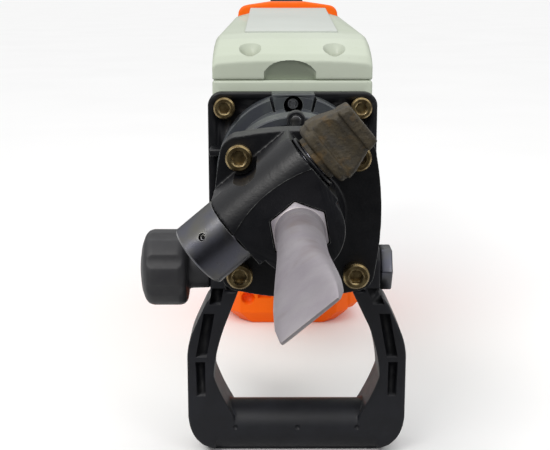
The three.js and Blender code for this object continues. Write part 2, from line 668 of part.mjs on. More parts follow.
function rearHandleHalf(x0, x1) {
  const outline = new THREE.Shape();
  const start = REAR.back + GAP;
  outline.moveTo(start, -50);
  outline.lineTo(start, 108);
  outline.quadraticCurveTo(start + 6, GRIP.top, start + 24, GRIP.top);
  outline.lineTo(574, GRIP.top);
  outline.quadraticCurveTo(GRIP.back, GRIP.top - 2, GRIP.back, 86);
  outline.lineTo(596, -8);
  outline.quadraticCurveTo(592, -50, 560, -50);
  const hole = new THREE.Shape();
  hole.moveTo(524, -20);
  hole.quadraticCurveTo(520, -20, 520, -14);
  hole.lineTo(520, 80);
  hole.quadraticCurveTo(520, 90, 532, 90);
  hole.lineTo(554, 90);
  hole.quadraticCurveTo(572, 90, 571, 72);
  hole.lineTo(564, -8);
  hole.quadraticCurveTo(562, -20, 552, -20);
  const body = alongX(outline, x0, x1, 6).subtract(alongX(hole, x0 - 1, x1 + 1, 5));
  const slot = box(-6.5, 6.5, 552, 588, 22, 82);
  const buttonHole = rod(X, 5.3, -30, -8, 16, [0, 584, 96]);
  const inlet = rod(Y, 8.3, 570, 620, 20, [0, 0, -26]);
  return body.subtract(join(slot, buttonHole, inlet));
}

function trigger() {
  const outline = new THREE.Shape();
  outline.moveTo(562, 78);
  outline.quadraticCurveTo(557, 56, 558, 40);
  outline.lineTo(554, 30);
  outline.lineTo(566, 28);
  outline.lineTo(576, 40);
  outline.lineTo(578, 78);
  return alongX(outline, -5.8, 5.8, 5);
}

function lockButton() {
  return turned(X, [[0, -20.5], [4, -20.5], [4.9, -19.5], [4.9, -12], [0, -12]], 16, [0, 584, 96]);
}

function cableInlet() {
  return turned(Y, [
    [3.4, 574], [8, 574], [8, 598], [10.5, 600], [10.5, 606], [8.6, 608], [6.4, 634], [3.4, 634], [3.4, 574],
  ], 20, [0, 0, -26]);
}

// ---- side handle -----------------------------------------------------------------------------
function sideHandleBand() {
  const hoop = ring(Y, BARREL.radius + GAP, BAND.outer, BAND.front, BAND.back, 48);
  const reach = ARM.inner - GAP;
  const block = box(-reach, reach, BAND.front, BAND.back, SWING.z, SWING.z + 11);
  const eye = rod(X, 12, -reach, reach, 32, [0, SWING.y, SWING.z]);
  const hole = rod(X, SWING.bolt + GAP, -60, 60, 20, [0, SWING.y, SWING.z]);
  const barrel = rod(Y, BARREL.radius + GAP, 40, 120, 48);
  return join(hoop, join(block, eye).subtract(barrel)).subtract(hole);
}

// Outline of the D in X and Z: the arms lean outwards from the clamped bosses to the round grip.
function sideHandleOutline() {
  const top = SWING.z + 16;
  const middle = (FLOOR + LOOP.low) / 2;
  const outer = new THREE.Path();
  outer.moveTo(ARM.outer, top);
  outer.lineTo(ARM.outer, -70.7);
  outer.quadraticCurveTo(60.5, -73, 62.9, -78);
  outer.lineTo(69.4, -92.2);
  outer.quadraticCurveTo(74.6, -103.5, 74.6, -114);
  outer.lineTo(74.6, -156);
  outer.quadraticCurveTo(73.5, -176, 56, FLOOR + 3);
  outer.lineTo(56, middle);
  const inner = new THREE.Path();
  inner.moveTo(40, middle);
  inner.lineTo(40, LOOP.low);
  inner.quadraticCurveTo(56.2, -147, 56.6, -127);
  inner.quadraticCurveTo(56.2, -112, 49, -91.4);
  inner.lineTo(38.3, ARM.shelf);
  inner.lineTo(ARM.inner, ARM.shelf);
  inner.lineTo(ARM.inner, top);
  return [...outer.getPoints(5), ...inner.getPoints(5)].map(({ x, y }) => [x, y]);
}

function sideHandle() {
  const aside = (side, z) => (z < ARM.bend ? side * ARM.aside : 0);
  const outline = sideHandleOutline();
  const profile = roundedBox((LOOP.back - LOOP.front) / 2, 74, 12, (LOOP.front + LOOP.back) / 2, -111);
  const keep = alongX(profile, -90, 90, 5);
  const arms = [1, -1].map((side) => {
    const arm = alongY(polygon(outline.map(([x, z]) => [x + aside(side, z), z])), LOOP.front, LOOP.back, 6);
    const pockets = [
      [[47.9, -64], [55.6, -64], [59, -75.4], [51.4, -75.4]],
      [[55.5, -81.8], [62.9, -81.8], [68.7, -112.4], [61.2, -112.4]],
      [[62.4, -116.1], [69, -116.1], [68.4, -140.5], [62.3, -140.5]],
    ].map((corners) => alongY(polygon(corners.map(([x, z]) => [x + aside(side, z), z])), 50, LOOP.front + 9));
    const cut = arm.intersect(keep).subtract(join(...pockets));
    return side > 0 ? cut : mirrorX(cut);
  });
  const [gripY, gripZ] = [(LOOP.front + LOOP.back) / 2, (LOOP.low + FLOOR) / 2];
  const grip = rod(X, (LOOP.low - FLOOR) / 2, -58, 58, 24, [ARM.aside, gripY, gripZ]);
  const sole = box(-58, 58, gripY - 8, gripY + 8, FLOOR, FLOOR + 8);
  const hole = rod(X, SWING.bolt + GAP, -80, 80, 20, [0, SWING.y, SWING.z]);
  return join(...arms, grip, sole).subtract(hole);
}

function clampBolt() {
  const at = [0, SWING.y, SWING.z];
  const head = alongX(hexagon(28), ARM.outer + GAP, 65.7, 4).translate([0, SWING.y, SWING.z]);
  return join(head, rod(X, SWING.bolt, -80, ARM.outer + 1, 20, at));
}

function clampKnob() {
  const at = [0, SWING.y, SWING.z];
  const knob = turned(X, [
    [0, -105], [16, -105], [23, -102.5], [26, -97], [26, -79], [24, -74], [16, -72],
    [15, -70], [14, -ARM.outer - GAP], [0, -ARM.outer - GAP],
  ], 32, at);
  const flutes = join(...Array.from({ length: 8 }, (_, k) => {
    const angle = (k * Math.PI) / 4 + Math.PI / 8;
    const place = [0, SWING.y + 30.4 * Math.cos(angle), SWING.z + 30.4 * Math.sin(angle)];
    return rod(X, 6, -110, -74.5, 10, place);
  }));
  return knob.subtract(flutes).subtract(rod(X, SWING.bolt + GAP, -82, -50, 20, at));
}

// ---- assembly --------------------------------------------------------------------------------
const hammer = new THREE.Group();

function addFrontEnd() {
  piece(hammer, "front_cover", frontCover(), blackCasting);
  piece(hammer, "tool_guide", toolGuide(), brightSteel);
  coverScrewPlaces().forEach(([x, , z], k) => {
    const screw = capScrew(10, 24).translate([x, -GAP, z]);
    piece(hammer, `cover_flange_screw_${CORNERS[k]}`, screw, zincYellow);
  });
  const leaning = new THREE.Group();
  leaning.rotation.y = -LEAN;
  hammer.add(leaning);
  piece(leaning, "chisel", chisel(), toolSteel);
  piece(leaning, "retainer_shaft", retainerShaft(), gunmetal);
  piece(leaning, "retainer_sleeve", retainerSleeve(), gunmetal);
  piece(leaning, "retainer_roll_pin", retainerRollPin(), brightSteel);
  piece(leaning, "retainer_lever", retainerLever(), roughCast);
  piece(leaning, "retainer_spring", retainerSpring(), brightSteel);
  const washer = ring(X, RETAINER.shaft + GAP, 16.7, 28.4, 30.4, 28, [0, RETAINER.depth, RETAINER.offset]);
  piece(leaning, "retainer_washer", washer, gunmetal);
}

function addCylinder() {
  piece(hammer, "cylinder_case", cylinderCase(), blackCasting);
  flangeScrewPlaces().forEach(([x, , z], k) => {
    const screw = capScrew(10, 24).translate([x, BARREL.flangeFront - GAP, z]);
    piece(hammer, `case_screw_${CORNERS[k]}`, screw, zincYellow);
  });
  const tabScrew = capScrew(6, 11).translate([0, 168 - GAP, TAB_SCREW[2]]);
  piece(hammer, "top_tab_screw", tabScrew, brightSteel);
  const plug = turned(Y, [[0, 54.6], [2.9, 54.6], [3.6, 55.3], [3.6, 61.7], [0, 61.7]], 16, OIL_PLUG);
  piece(hammer, "oil_plug", plug, gunmetal);
  piece(hammer, "cylinder_liner", ring(Y, 25, 29.9, 158.4, 240), brightSteel);
  piece(hammer, "impact_bolt", impactBolt(), brightSteel);
  piece(hammer, "impact_damper", ring(Y, 14, 26.4, 147, 156, 20), rubber);
  piece(hammer, "striker", striker(), brightSteel);
  piece(hammer, "piston", piston(), brightSteel);
}

function addCrankDrive() {
  piece(hammer, "crank_case", crankCase(), greyCasting);
  piece(hammer, "crank_cover", crankCover(), greyCasting);
  const names = ["front_left", "front_right", "rear_left", "rear_right"];
  COVER_SCREWS.forEach((place, k) => {
    piece(hammer, `crank_cover_screw_${names[k]}`, coverScrew(place), zincYellow);
  });
  piece(hammer, "label_panel", labelPanel(), panelGrey);
  piece(hammer, "bearing_bridge", bearingBridge(), greyCasting);
  piece(hammer, "crank_bearing_lower", ring(Z, 10.2, 16, -61.7, -50, 24, [0, CRANK.y, 0]), brightSteel);
  piece(hammer, "crank_bearing_upper", ring(Z, 10.2, 16, -31, -24, 24, [0, CRANK.y, 0]), brightSteel);
  piece(hammer, "crankshaft", crankshaft(), brightSteel);
  const crankGear = gear(CRANK.gearTeeth, CRANK.module, -46, -32, 10.5, [0, CRANK.y, 0], Math.PI / 2);
  piece(hammer, "crank_gear", crankGear, gunmetal);
  piece(hammer, "connecting_rod", connectingRod(), brightSteel);
  piece(hammer, "wrist_pin", ring(Z, 2, 4.5, -12, 12, 14, [0, 238, 0]), brightSteel);
  const halfTooth = Math.PI / LAYSHAFT.pinionTeeth;
  const at = [0, layshaftY, 0];
  const pinion = gear(LAYSHAFT.pinionTeeth, CRANK.module, -46, -32, 3, at, -Math.PI / 2 + halfTooth);
  piece(hammer, "layshaft", join(pinion, rod(Z, 6.3, -61, -12, 24, at)), gunmetal);
  const halfStep = Math.PI / LAYSHAFT.gearTeeth;
  const wheel = gear(LAYSHAFT.gearTeeth, LAYSHAFT.module, -23.5, -13, 6.8, at, Math.PI / 2 + halfStep);
  piece(hammer, "layshaft_gear", wheel, gunmetal);
}

function addMotor() {
  const at = [0, MOTOR.y, 0];
  piece(hammer, "motor_housing", motorHousing(), orangePlastic);
  const cover = tailCover().subtract(join(brushCapBore(), mirrorX(brushCapBore())));
  piece(hammer, "tail_cover", cover, orangePlastic);
  piece(hammer, "armature", armature(), copper);
  piece(hammer, "fan", fan(), blackPlastic);
  piece(hammer, "stator", stator(), copper);
  piece(hammer, "armature_bearing_upper", ring(Z, 6.3, 14, -64, -52, 24, at), brightSteel);
  piece(hammer, "armature_bearing_lower", ring(Z, 6.3, 11, -176, -168.4, 20, at), brightSteel);
  piece(hammer, "brush_cap_right", brushCap(), blackPlastic);
  piece(hammer, "brush_cap_left", mirrorX(brushCap()), blackPlastic);
}

function brushCapBore() {
  return join(
    rod(X, 5.3, 30, CHEEK.half + 1, 16, [0, MOTOR.y, BRUSH_Z]),
    rod(X, 7.3, CHEEK.half - 5.3, CHEEK.half + 1, 16, [0, MOTOR.y, BRUSH_Z]),
  );
}

function addRearEnd() {
  piece(hammer, "rear_housing", rearHousing(), orangePlastic);
  piece(hammer, "rear_handle_left", rearHandleHalf(-GRIP.half, -GAP / 2), rubber);
  piece(hammer, "rear_handle_right", rearHandleHalf(GAP / 2, GRIP.half), rubber);
  piece(hammer, "trigger", trigger(), blackPlastic);
  piece(hammer, "lock_button", lockButton(), blackPlastic);
  piece(hammer, "cable_inlet", cableInlet(), rubber);
}

function addSideHandle() {
  piece(hammer, "side_handle_band", sideHandleBand(), blackCasting);
  piece(hammer, "side_handle", sideHandle(), blackPlastic);
  piece(hammer, "clamp_bolt", clampBolt(), zincYellow);
  piece(hammer, "clamp_knob", clampKnob(), knobPlastic);
}

addFrontEnd();
addCylinder();
addCrankDrive();
addMotor();
addRearEnd();
addSideHandle();

// The origin is the middle of the hammer's box, at the level it stands on.
const model = new THREE.Group();
model.add(hammer);
model.updateMatrixWorld(true);
const extent = new THREE.Box3().setFromObject(model, true);
const centre = extent.getCenter(new THREE.Vector3());
hammer.position.set(-centre.x, -centre.y, -extent.min.z);

export default model;
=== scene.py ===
"""Looks for the demolition hammer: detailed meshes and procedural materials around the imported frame.

Lengths in the tables below are millimetres in the hammer's own frame: the tool axis is Y, y = 0 is the
front face of the front cover's flange, +X is right and +Z is up as seen from the chisel.
"""
import json
import math

import bmesh
import bpy
from mathutils import Matrix, Vector


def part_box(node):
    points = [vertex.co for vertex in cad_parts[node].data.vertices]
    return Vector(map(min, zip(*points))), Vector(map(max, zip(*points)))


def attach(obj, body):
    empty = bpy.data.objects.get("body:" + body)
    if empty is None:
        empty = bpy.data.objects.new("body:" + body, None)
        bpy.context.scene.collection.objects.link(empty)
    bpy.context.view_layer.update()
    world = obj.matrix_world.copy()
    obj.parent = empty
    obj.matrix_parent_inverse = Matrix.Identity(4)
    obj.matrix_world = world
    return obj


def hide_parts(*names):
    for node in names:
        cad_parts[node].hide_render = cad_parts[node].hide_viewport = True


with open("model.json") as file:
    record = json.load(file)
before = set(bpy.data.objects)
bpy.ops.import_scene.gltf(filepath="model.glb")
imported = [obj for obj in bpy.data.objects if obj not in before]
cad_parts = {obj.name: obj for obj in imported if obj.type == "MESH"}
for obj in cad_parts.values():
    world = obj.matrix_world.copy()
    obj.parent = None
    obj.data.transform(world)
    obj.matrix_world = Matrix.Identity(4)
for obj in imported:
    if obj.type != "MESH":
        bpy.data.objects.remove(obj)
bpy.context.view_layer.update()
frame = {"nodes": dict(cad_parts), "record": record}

MM = 0.001
LEAN = math.radians(40)

# ---- where the hammer's frame sits -----------------------
COVER_DEPTH = 15.3
guide_low, guide_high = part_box("tool_guide")
case_low, case_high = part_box("cylinder_case")
ORIGIN = Vector((
    (guide_low.x + guide_high.x) / 2,
    case_low.y - COVER_DEPTH * MM,
    (guide_low.z + guide_high.z) / 2,
))
TO_ROW = Matrix.Translation(ORIGIN) @ Matrix.Scale(MM, 4)
TO_LEANING = TO_ROW @ Matrix.Rotation(-LEAN, 4, "Y")
FLOOR = -184

# ---- driving sizes ---------------------------------------
HEX = 30
COVER = {"half": 47, "corner": 12, "bulge": 3.4, "depth": 15, "screw": 35.1, "drop": 1.6}
COLLAR = {"radius": 25.6, "mouth": -49.4}
FACE = {"radius": 78, "top": 28.4}
BOSS = {"offset": 23.4, "depth": -30, "radius": 20, "from": -29.5, "to": 28}
SEAT = {"radius": 17.2, "from": 15.5}
SLEEVE = {"radius": 19.7, "from": -57.1, "to": -29.8, "pin_at": -44.1, "pin_tilt": 28.5}
BARREL = {"radius": 45, "collar": 56, "collar_front": 148.6, "flange_front": 172.7, "flange_back": 184.7}
FLANGE = {"half_x": 63.6, "half_z": 61.8, "centre_z": -5.7, "corner": 10, "screw": 50.9, "clearance": 13}
CASE = {"front": 185, "back": 425, "half": 60.7, "bottom": -66, "split": 64}
BAND = {"front": 66, "back": 94, "inner": 45.3, "outer": 51, "reach": 46.7}
SWING = {"y": 80, "z": -54}
ARM = {"inner": 47, "outer": 57, "shelf": -66.6, "bend": -72, "aside": 1.2}
LOOP = {"front": 61, "back": 96, "low": -149.4}
MOTOR = {"y": 401.5, "front": 356, "back": 462, "half": 58, "tail_top": -150}
CHEEK = {"half": 68, "front": 368, "back": 435, "low": -172, "high": -112}
REAR = {"front": 425.3, "back": 505, "half": 55.5, "top": 117}
GRIP = {"half": 17, "top": 120.5, "back": 606}
CREST = {"front": 235, "low": 97, "high": 112}
COVER_SCREWS = {"front_left": (-32, 197, 78), "front_right": (32, 197, 78),
                "rear_left": (-46, 411, 97), "rear_right": (46, 411, 97)}
TAB_SCREW = {"y": 167.7, "z": 49}
OIL_PLUG_Z = 49.3
BRUSH_Z = -158.5
LOCK_BUTTON = (0, 584, 96)
CABLE_INLET = (0, 0, -26)
SCREW_HOLE = 5.5
BOLT_HOLE = 6.3
SHAFT = 11
GAP = 0.3
SIGNS = [(-1, 1), (1, 1), (-1, -1), (1, -1)]
CORNERS = ["upper_left", "upper_right", "lower_left", "lower_right"]


# ---- camera, light and floor -----------------------------
def make_camera():
    data = bpy.data.cameras.new("camera")
    data.sensor_width = 36
    data.lens = 70.8
    data.clip_start = 0.01
    data.clip_end = 200
    camera = bpy.data.objects.new("camera", data)
    camera.location = TO_ROW @ Vector((-15.9, -637.3, 134.9))
    camera.rotation_euler = (math.radians(90 - 12.54), 0, math.radians(-0.19))
    bpy.context.scene.collection.objects.link(camera)
    bpy.context.scene.camera = camera


def area_light(name, place, target, size, power, colour=(1, 1, 1)):
    data = bpy.data.lights.new(name, "AREA")
    data.shape = "RECTANGLE"
    data.size, data.size_y = size
    data.energy = power
    data.color = colour
    light = bpy.data.objects.new(name, data)
    light.location = ORIGIN + Vector(place)
    direction = ORIGIN + Vector(target) - light.location
    light.rotation_euler = direction.to_track_quat("-Z", "Y").to_euler()
    bpy.context.scene.collection.objects.link(light)


def make_world():
    """Bright ceiling that fades to a dim horizon."""
    world = bpy.data.worlds.new("studio")
    bpy.context.scene.world = world
    world.use_nodes = True
    tree = world.node_tree
    direction = tree.nodes.new("ShaderNodeSeparateXYZ")
    tree.links.new(tree.nodes.new("ShaderNodeTexCoord").outputs["Generated"], direction.inputs["Vector"])
    ramp = tree.nodes.new("ShaderNodeMapRange")
    ramp.inputs["From Min"].default_value = 0.05
    ramp.inputs["From Max"].default_value = 0.75
    ramp.inputs["To Min"].default_value = 0.12
    ramp.inputs["To Max"].default_value = 1.2
    tree.links.new(direction.outputs["Z"], ramp.inputs["Value"])
    seen = tree.nodes.new("ShaderNodeMath")
    seen.operation = "MAXIMUM"
    tree.links.new(ramp.outputs["Result"], seen.inputs[0])
    tree.links.new(tree.nodes.new("ShaderNodeLightPath").outputs["Is Camera Ray"], seen.inputs[1])
    background = tree.nodes["Background"]
    background.inputs["Color"].default_value = (1, 1, 1, 1)
    tree.links.new(seen.outputs[0], background.inputs["Strength"])


def make_stage():
    bpy.context.scene.view_settings.view_transform = "Standard"
    make_world()
    area_light("key", (-0.7, -1.0, 1.1), (0, 0.0, 0), (0.7, 0.5), 13, (1, 0.98, 0.95))
    area_light("fill", (0.9, -1.1, 0.6), (0, 0.05, -0.05), (0.4, 0.9), 3)
    bpy.ops.mesh.primitive_plane_add(size=160, location=(0, 0, 0))
    floor = bpy.context.object
    floor.name = "floor"
    floor.data.materials.append(plain_floor())


# ---- material building blocks ----------------------------
def srgb(red, green, blue):
    """Scene colour of an 8-bit screen colour."""
    def linear(value):
        value /= 255
        return value / 12.92 if value <= 0.04045 else ((value + 0.055) / 1.055) ** 2.4
    return (linear(red), linear(green), linear(blue), 1)


class Surface:
    """A Principled material whose colour, roughness and bump are built up from procedural layers."""

    def __init__(self, name, colour, roughness, metallic=0.0, **fixed):
        self.material = bpy.data.materials.new(name)
        self.material.use_nodes = True
        self.tree = self.material.node_tree
        self.shader = self.tree.nodes["Principled BSDF"]
        self.shader.inputs["Metallic"].default_value = metallic
        self.shader.inputs["Roughness"].default_value = roughness
        self.shader.inputs["Base Color"].default_value = colour
        for key, value in fixed.items():
            self.shader.inputs[key.replace("_", " ")].default_value = value
        self.colour_now = None
        self.colour_value = colour
        self.bump_now = None
        self.position = self.node("ShaderNodeTexCoord").outputs["Object"]

    def node(self, kind, **settings):
        made = self.tree.nodes.new(kind)
        for key, value in settings.items():
            setattr(made, key, value)
        return made

    def link(self, source, target):
        self.tree.links.new(source, target)

    def noise(self, size_mm, detail, stretch=(1, 1, 1)):
        """A noise whose features are about size_mm across; stretch lengthens them along an axis."""
        mapping = self.node("ShaderNodeMapping")
        mapping.inputs["Scale"].default_value = [1 / s for s in stretch]
        self.link(self.position, mapping.inputs["Vector"])
        texture = self.node("ShaderNodeTexNoise")
        texture.inputs["Scale"].default_value = 1000 / size_mm
        texture.inputs["Detail"].default_value = detail
        texture.inputs["Roughness"].default_value = 0.55
        self.link(mapping.outputs["Vector"], texture.inputs["Vector"])
        return texture.outputs["Fac"]

    def band(self, source, low, high, out_low=0.0, out_high=1.0):
        ramp = self.node("ShaderNodeMapRange")
        ramp.clamp = True
        ramp.inputs["From Min"].default_value = low
        ramp.inputs["From Max"].default_value = high
        ramp.inputs["To Min"].default_value = out_low
        ramp.inputs["To Max"].default_value = out_high
        self.link(source, ramp.inputs["Value"])
        return ramp.outputs["Result"]

    def multiply(self, one, other):
        product = self.node("ShaderNodeMath", operation="MULTIPLY")
        self.link(one, product.inputs[0])
        self.link(other, product.inputs[1])
        return product.outputs[0]

    def tint(self, mask, colour):
        """Mixes colour over what is there, where mask is 1."""
        mix = self.node("ShaderNodeMix", data_type="RGBA")
        if self.colour_now is None:
            mix.inputs["A"].default_value = self.colour_value
        else:
            self.link(self.colour_now, mix.inputs["A"])
        mix.inputs["B"].default_value = colour
        self.link(mask, mix.inputs["Factor"])
        self.colour_now = mix.outputs["Result"]
        self.link(self.colour_now, self.shader.inputs["Base Color"])

    def mottle(self, size_mm, detail, low, high, share, colour, stretch=(1, 1, 1)):
        """Mixes in colour by up to share, in patches about size_mm across."""
        self.tint(self.band(self.noise(size_mm, detail, stretch), low, high, 0, share), colour)

    def vary_roughness(self, size_mm, detail, low, high):
        mask = self.noise(size_mm, detail)
        self.link(self.band(mask, 0, 1, low, high), self.shader.inputs["Roughness"])

    def bump(self, size_mm, detail, distance_mm):
        height = self.noise(size_mm, detail)
        made = self.node("ShaderNodeBump")
        made.inputs["Distance"].default_value = distance_mm * MM
        self.link(height, made.inputs["Height"])
        if self.bump_now is not None:
            self.link(self.bump_now, made.inputs["Normal"])
        self.bump_now = made.outputs["Normal"]
        self.link(self.bump_now, self.shader.inputs["Normal"])

    def worn_and_highlit_edges(self, radius_mm, colour, patch_mm=4.0, share=0.5):
        """Paints the edges lighter in patches: partly finish worn through by handling, partly a painted
        highlight where edges catch the light.
        """
        rounded = self.node("ShaderNodeBevel", samples=6)
        rounded.inputs["Radius"].default_value = radius_mm * MM
        dot = self.node("ShaderNodeVectorMath", operation="DOT_PRODUCT")
        self.link(rounded.outputs["Normal"], dot.inputs[0])
        self.link(self.node("ShaderNodeNewGeometry").outputs["Normal"], dot.inputs[1])
        edge = self.band(dot.outputs["Value"], 0.84, 0.985, 1, 0)
        patches = self.band(self.noise(patch_mm, 4), 0.62 - 0.4 * share, 0.72 - 0.3 * share, 0.15, 1)
        self.tint(self.multiply(edge, patches), colour)


def plain_floor():
    """White paper that throws back only part of its light, so dark parts keep their depth."""
    look = Surface("floor_paper", (0.96, 0.96, 0.96, 1), 0.9, Specular_IOR_Level=0.0)
    look.mottle(400, 2, 0.3, 0.7, 1, (0.94, 0.94, 0.94, 1))
    dim = look.node("ShaderNodeBsdfDiffuse")
    place = look.node("ShaderNodeSeparateXYZ")
    look.link(look.position, place.inputs["Vector"])
    look.link(look.band(place.outputs["Y"], -0.7, 0.1, 0.03, 0.85), dim.inputs["Color"])
    mix = look.node("ShaderNodeMixShader")
    look.link(look.node("ShaderNodeLightPath").outputs["Is Camera Ray"], mix.inputs["Fac"])
    look.link(dim.outputs["BSDF"], mix.inputs[1])
    look.link(look.shader.outputs["BSDF"], mix.inputs[2])
    look.link(mix.outputs["Shader"], look.tree.nodes["Material Output"].inputs["Surface"])
    return look.material


def grey_casting():
    look = Surface("grey_casting", srgb(192, 200, 184), 0.45, 0.0, Coat_Weight=0.1)
    look.mottle(60, 2, 0.35, 0.7, 0.45, srgb(178, 188, 166))
    look.mottle(3, 4, 0.64, 0.78, 0.2, srgb(150, 154, 140))
    look.vary_roughness(20, 3, 0.4, 0.58)
    look.bump(0.8, 3, 0.05)
    return look.material


def black_casting():
    look = Surface("black_casting", srgb(6, 7, 12), 0.42, 0.0, Specular_IOR_Level=0.38)
    look.mottle(22, 3, 0.45, 0.75, 0.5, srgb(19, 20, 25))
    look.worn_and_highlit_edges(0.45, srgb(116, 118, 116), 5)
    look.vary_roughness(7, 4, 0.3, 0.52)
    look.bump(1.4, 3, 0.1)
    look.bump(12, 2, 0.2)
    return look.material


# A lighter copy of the black casting for the barrel, tab and handle hoop: painted light, standing in for the
# light these faces catch.
def black_casting_painted_lit():
    look = Surface("black_casting_painted_lit", srgb(52, 55, 62), 0.34, 0.0, Specular_IOR_Level=0.6)
    look.mottle(18, 3, 0.42, 0.7, 0.6, srgb(70, 76, 74))
    look.mottle(2, 4, 0.6, 0.75, 0.4, srgb(36, 38, 44))
    look.worn_and_highlit_edges(0.45, srgb(128, 132, 128), 6, 0.7)
    look.vary_roughness(7, 4, 0.26, 0.44)
    look.bump(1.4, 3, 0.08)
    return look.material


def gunmetal():
    look = Surface("gunmetal", srgb(96, 97, 106), 0.3, 1.0)
    look.mottle(16, 4, 0.4, 0.7, 0.6, srgb(108, 106, 92))
    look.mottle(1.2, 4, 0.6, 0.8, 0.4, srgb(60, 60, 66))
    look.worn_and_highlit_edges(0.35, srgb(190, 190, 188), 9, 0.8)
    look.vary_roughness(6, 4, 0.22, 0.38)
    look.bump(0.7, 4, 0.02)
    return look.material


def rough_cast():
    look = Surface("rough_cast", srgb(66, 58, 42), 0.6, 0.2)
    look.mottle(6, 5, 0.42, 0.62, 1, srgb(54, 49, 40))
    look.mottle(1.6, 4, 0.58, 0.7, 0.8, srgb(36, 32, 27))
    look.mottle(9, 3, 0.58, 0.7, 0.7, srgb(92, 72, 40))
    look.worn_and_highlit_edges(0.5, srgb(160, 152, 132), 5, 0.6)
    look.vary_roughness(2, 4, 0.48, 0.76)
    look.bump(1.1, 5, 0.3)
    look.bump(5, 3, 0.4)
    return look.material


def tool_steel():
    look = Surface("tool_steel", srgb(160, 155, 160), 0.46, 0.5)
    look.mottle(20, 4, 0.38, 0.66, 0.6, srgb(142, 134, 144))
    look.mottle(0.7, 3, 0.6, 0.75, 0.3, srgb(112, 105, 107))
    look.mottle(30, 3, 0.6, 0.75, 0.5, srgb(124, 110, 102), (1, 1, 2))
    look.worn_and_highlit_edges(0.6, srgb(206, 198, 186), 14, 0.7)
    look.vary_roughness(8, 4, 0.38, 0.58)
    look.bump(0.5, 3, 0.04)
    look.bump(9, 2, 0.15)
    return look.material


def plated(name, colour, darker, roughness, rim):
    look = Surface(name, colour, roughness, 1.0)
    look.mottle(4, 4, 0.35, 0.6, 0.9, darker)
    look.worn_and_highlit_edges(0.4, rim, 12, 0.9)
    look.vary_roughness(2, 3, roughness * 0.7, roughness * 1.5)
    look.bump(0.5, 2, 0.02)
    return look.material


def orange_plastic():
    look = Surface("orange_plastic", srgb(255, 108, 0), 0.42, Specular_IOR_Level=0.2)
    look.mottle(45, 3, 0.35, 0.7, 0.5, srgb(248, 92, 2))
    look.vary_roughness(10, 3, 0.36, 0.5)
    look.bump(0.45, 2, 0.03)
    return look.material


def moulded(name, colour, lighter, roughness, grain_mm):
    look = Surface(name, colour, roughness, Specular_IOR_Level=0.4)
    look.mottle(20, 4, 0.4, 0.7, 0.6, lighter)
    look.mottle(2.5, 4, 0.6, 0.75, 0.3, lighter)
    look.vary_roughness(7, 3, roughness * 0.85, min(1, roughness * 1.2))
    look.bump(grain_mm, 2, 0.05)
    return look.material


def label_grey():
    look = Surface("label_grey", srgb(194, 199, 194), 0.5, Specular_IOR_Level=0.25)
    look.mottle(70, 2, 0.35, 0.7, 0.6, srgb(186, 190, 184))
    look.vary_roughness(12, 3, 0.44, 0.56)
    look.bump(0.3, 2, 0.01)
    return look.material


MATERIALS = {
    "grey_casting": grey_casting(),
    "black_casting": black_casting(),
    "black_casting_painted_lit": black_casting_painted_lit(),
    "gunmetal": gunmetal(),
    "rough_cast": rough_cast(),
    "tool_steel": tool_steel(),
    "zinc_yellow": plated("zinc_yellow", srgb(176, 156, 112), srgb(104, 86, 58), 0.28, srgb(226, 216, 186)),
    "bright_steel": plated(
        "bright_steel", srgb(200, 202, 204), srgb(140, 142, 146), 0.26, srgb(230, 230, 230)),
    "copper_core": plated("copper_core", srgb(190, 116, 78), srgb(130, 72, 44), 0.4, srgb(230, 170, 130)),
    "orange_plastic": orange_plastic(),
    "black_plastic": moulded("black_plastic", srgb(15, 16, 22), srgb(26, 28, 35), 0.46, 0.5),
    "knob_plastic": moulded("knob_plastic", srgb(46, 46, 49), srgb(60, 60, 62), 0.5, 0.6),
    "label_grey": label_grey(),
    "rubber": moulded("rubber", srgb(28, 27, 27), srgb(42, 40, 39), 0.8, 0.8),
}


# ---- mesh building blocks --------------------------------
def arc(cx, cz, radius, start, end, steps):
    """Points on an arc, angles in degrees."""
    return [
        (cx + radius * math.cos(math.radians(start + (end - start) * k / steps)),
         cz + radius * math.sin(math.radians(start + (end - start) * k / steps)))
        for k in range(steps + 1)
    ]


def rounded_box(half_x, half_z, radius, cx=0, cz=0, steps=8):
    """Outline of a rectangle with round corners, counter-clockwise."""
    points = []
    for quarter, (sx, sz) in enumerate([(1, 1), (-1, 1), (-1, -1), (1, -1)]):
        centre = (cx + sx * (half_x - radius), cz + sz * (half_z - radius))
        points += arc(*centre, radius, 90 * quarter, 90 * quarter + 90, steps)
    return points


def quadratic(start, control, end, steps=8):
    """Points after start on a quadratic curve."""
    points = []
    for k in range(1, steps + 1):
        t = k / steps
        points.append(tuple(
            (1 - t) ** 2 * a + 2 * t * (1 - t) * b + t * t * c for a, b, c in zip(start, control, end)
        ))
    return points


def hexagon(across_flats):
    """Corners of a hexagon, one of them on the first axis."""
    corner = across_flats / math.sqrt(3)
    angles = [math.radians(60 * k) for k in range(6)]
    return [(corner * math.cos(angle), corner * math.sin(angle)) for angle in angles]


AXES = {
    "X": lambda u, v, w: Vector((w, u, v)),
    "Y": lambda u, v, w: Vector((u, w, v)),
    "Z": lambda u, v, w: Vector((u, v, w)),
}


def prism(axis, outline, low, high, at=(0, 0, 0)):
    """Closed prism: outline in the two other axes, in their order, from low to high."""
    bm = bmesh.new()
    place = AXES[axis]
    shift = Vector(at)
    rings = [[bm.verts.new(place(u, v, w) + shift) for u, v in outline] for w in (low, high)]
    count = len(outline)
    bm.faces.new(rings[0])
    bm.faces.new(rings[1][::-1])
    for k in range(count):
        n = (k + 1) % count
        bm.faces.new((rings[0][k], rings[1][k], rings[1][n], rings[0][n]))
    bmesh.ops.recalc_face_normals(bm, faces=bm.faces)
    return bm


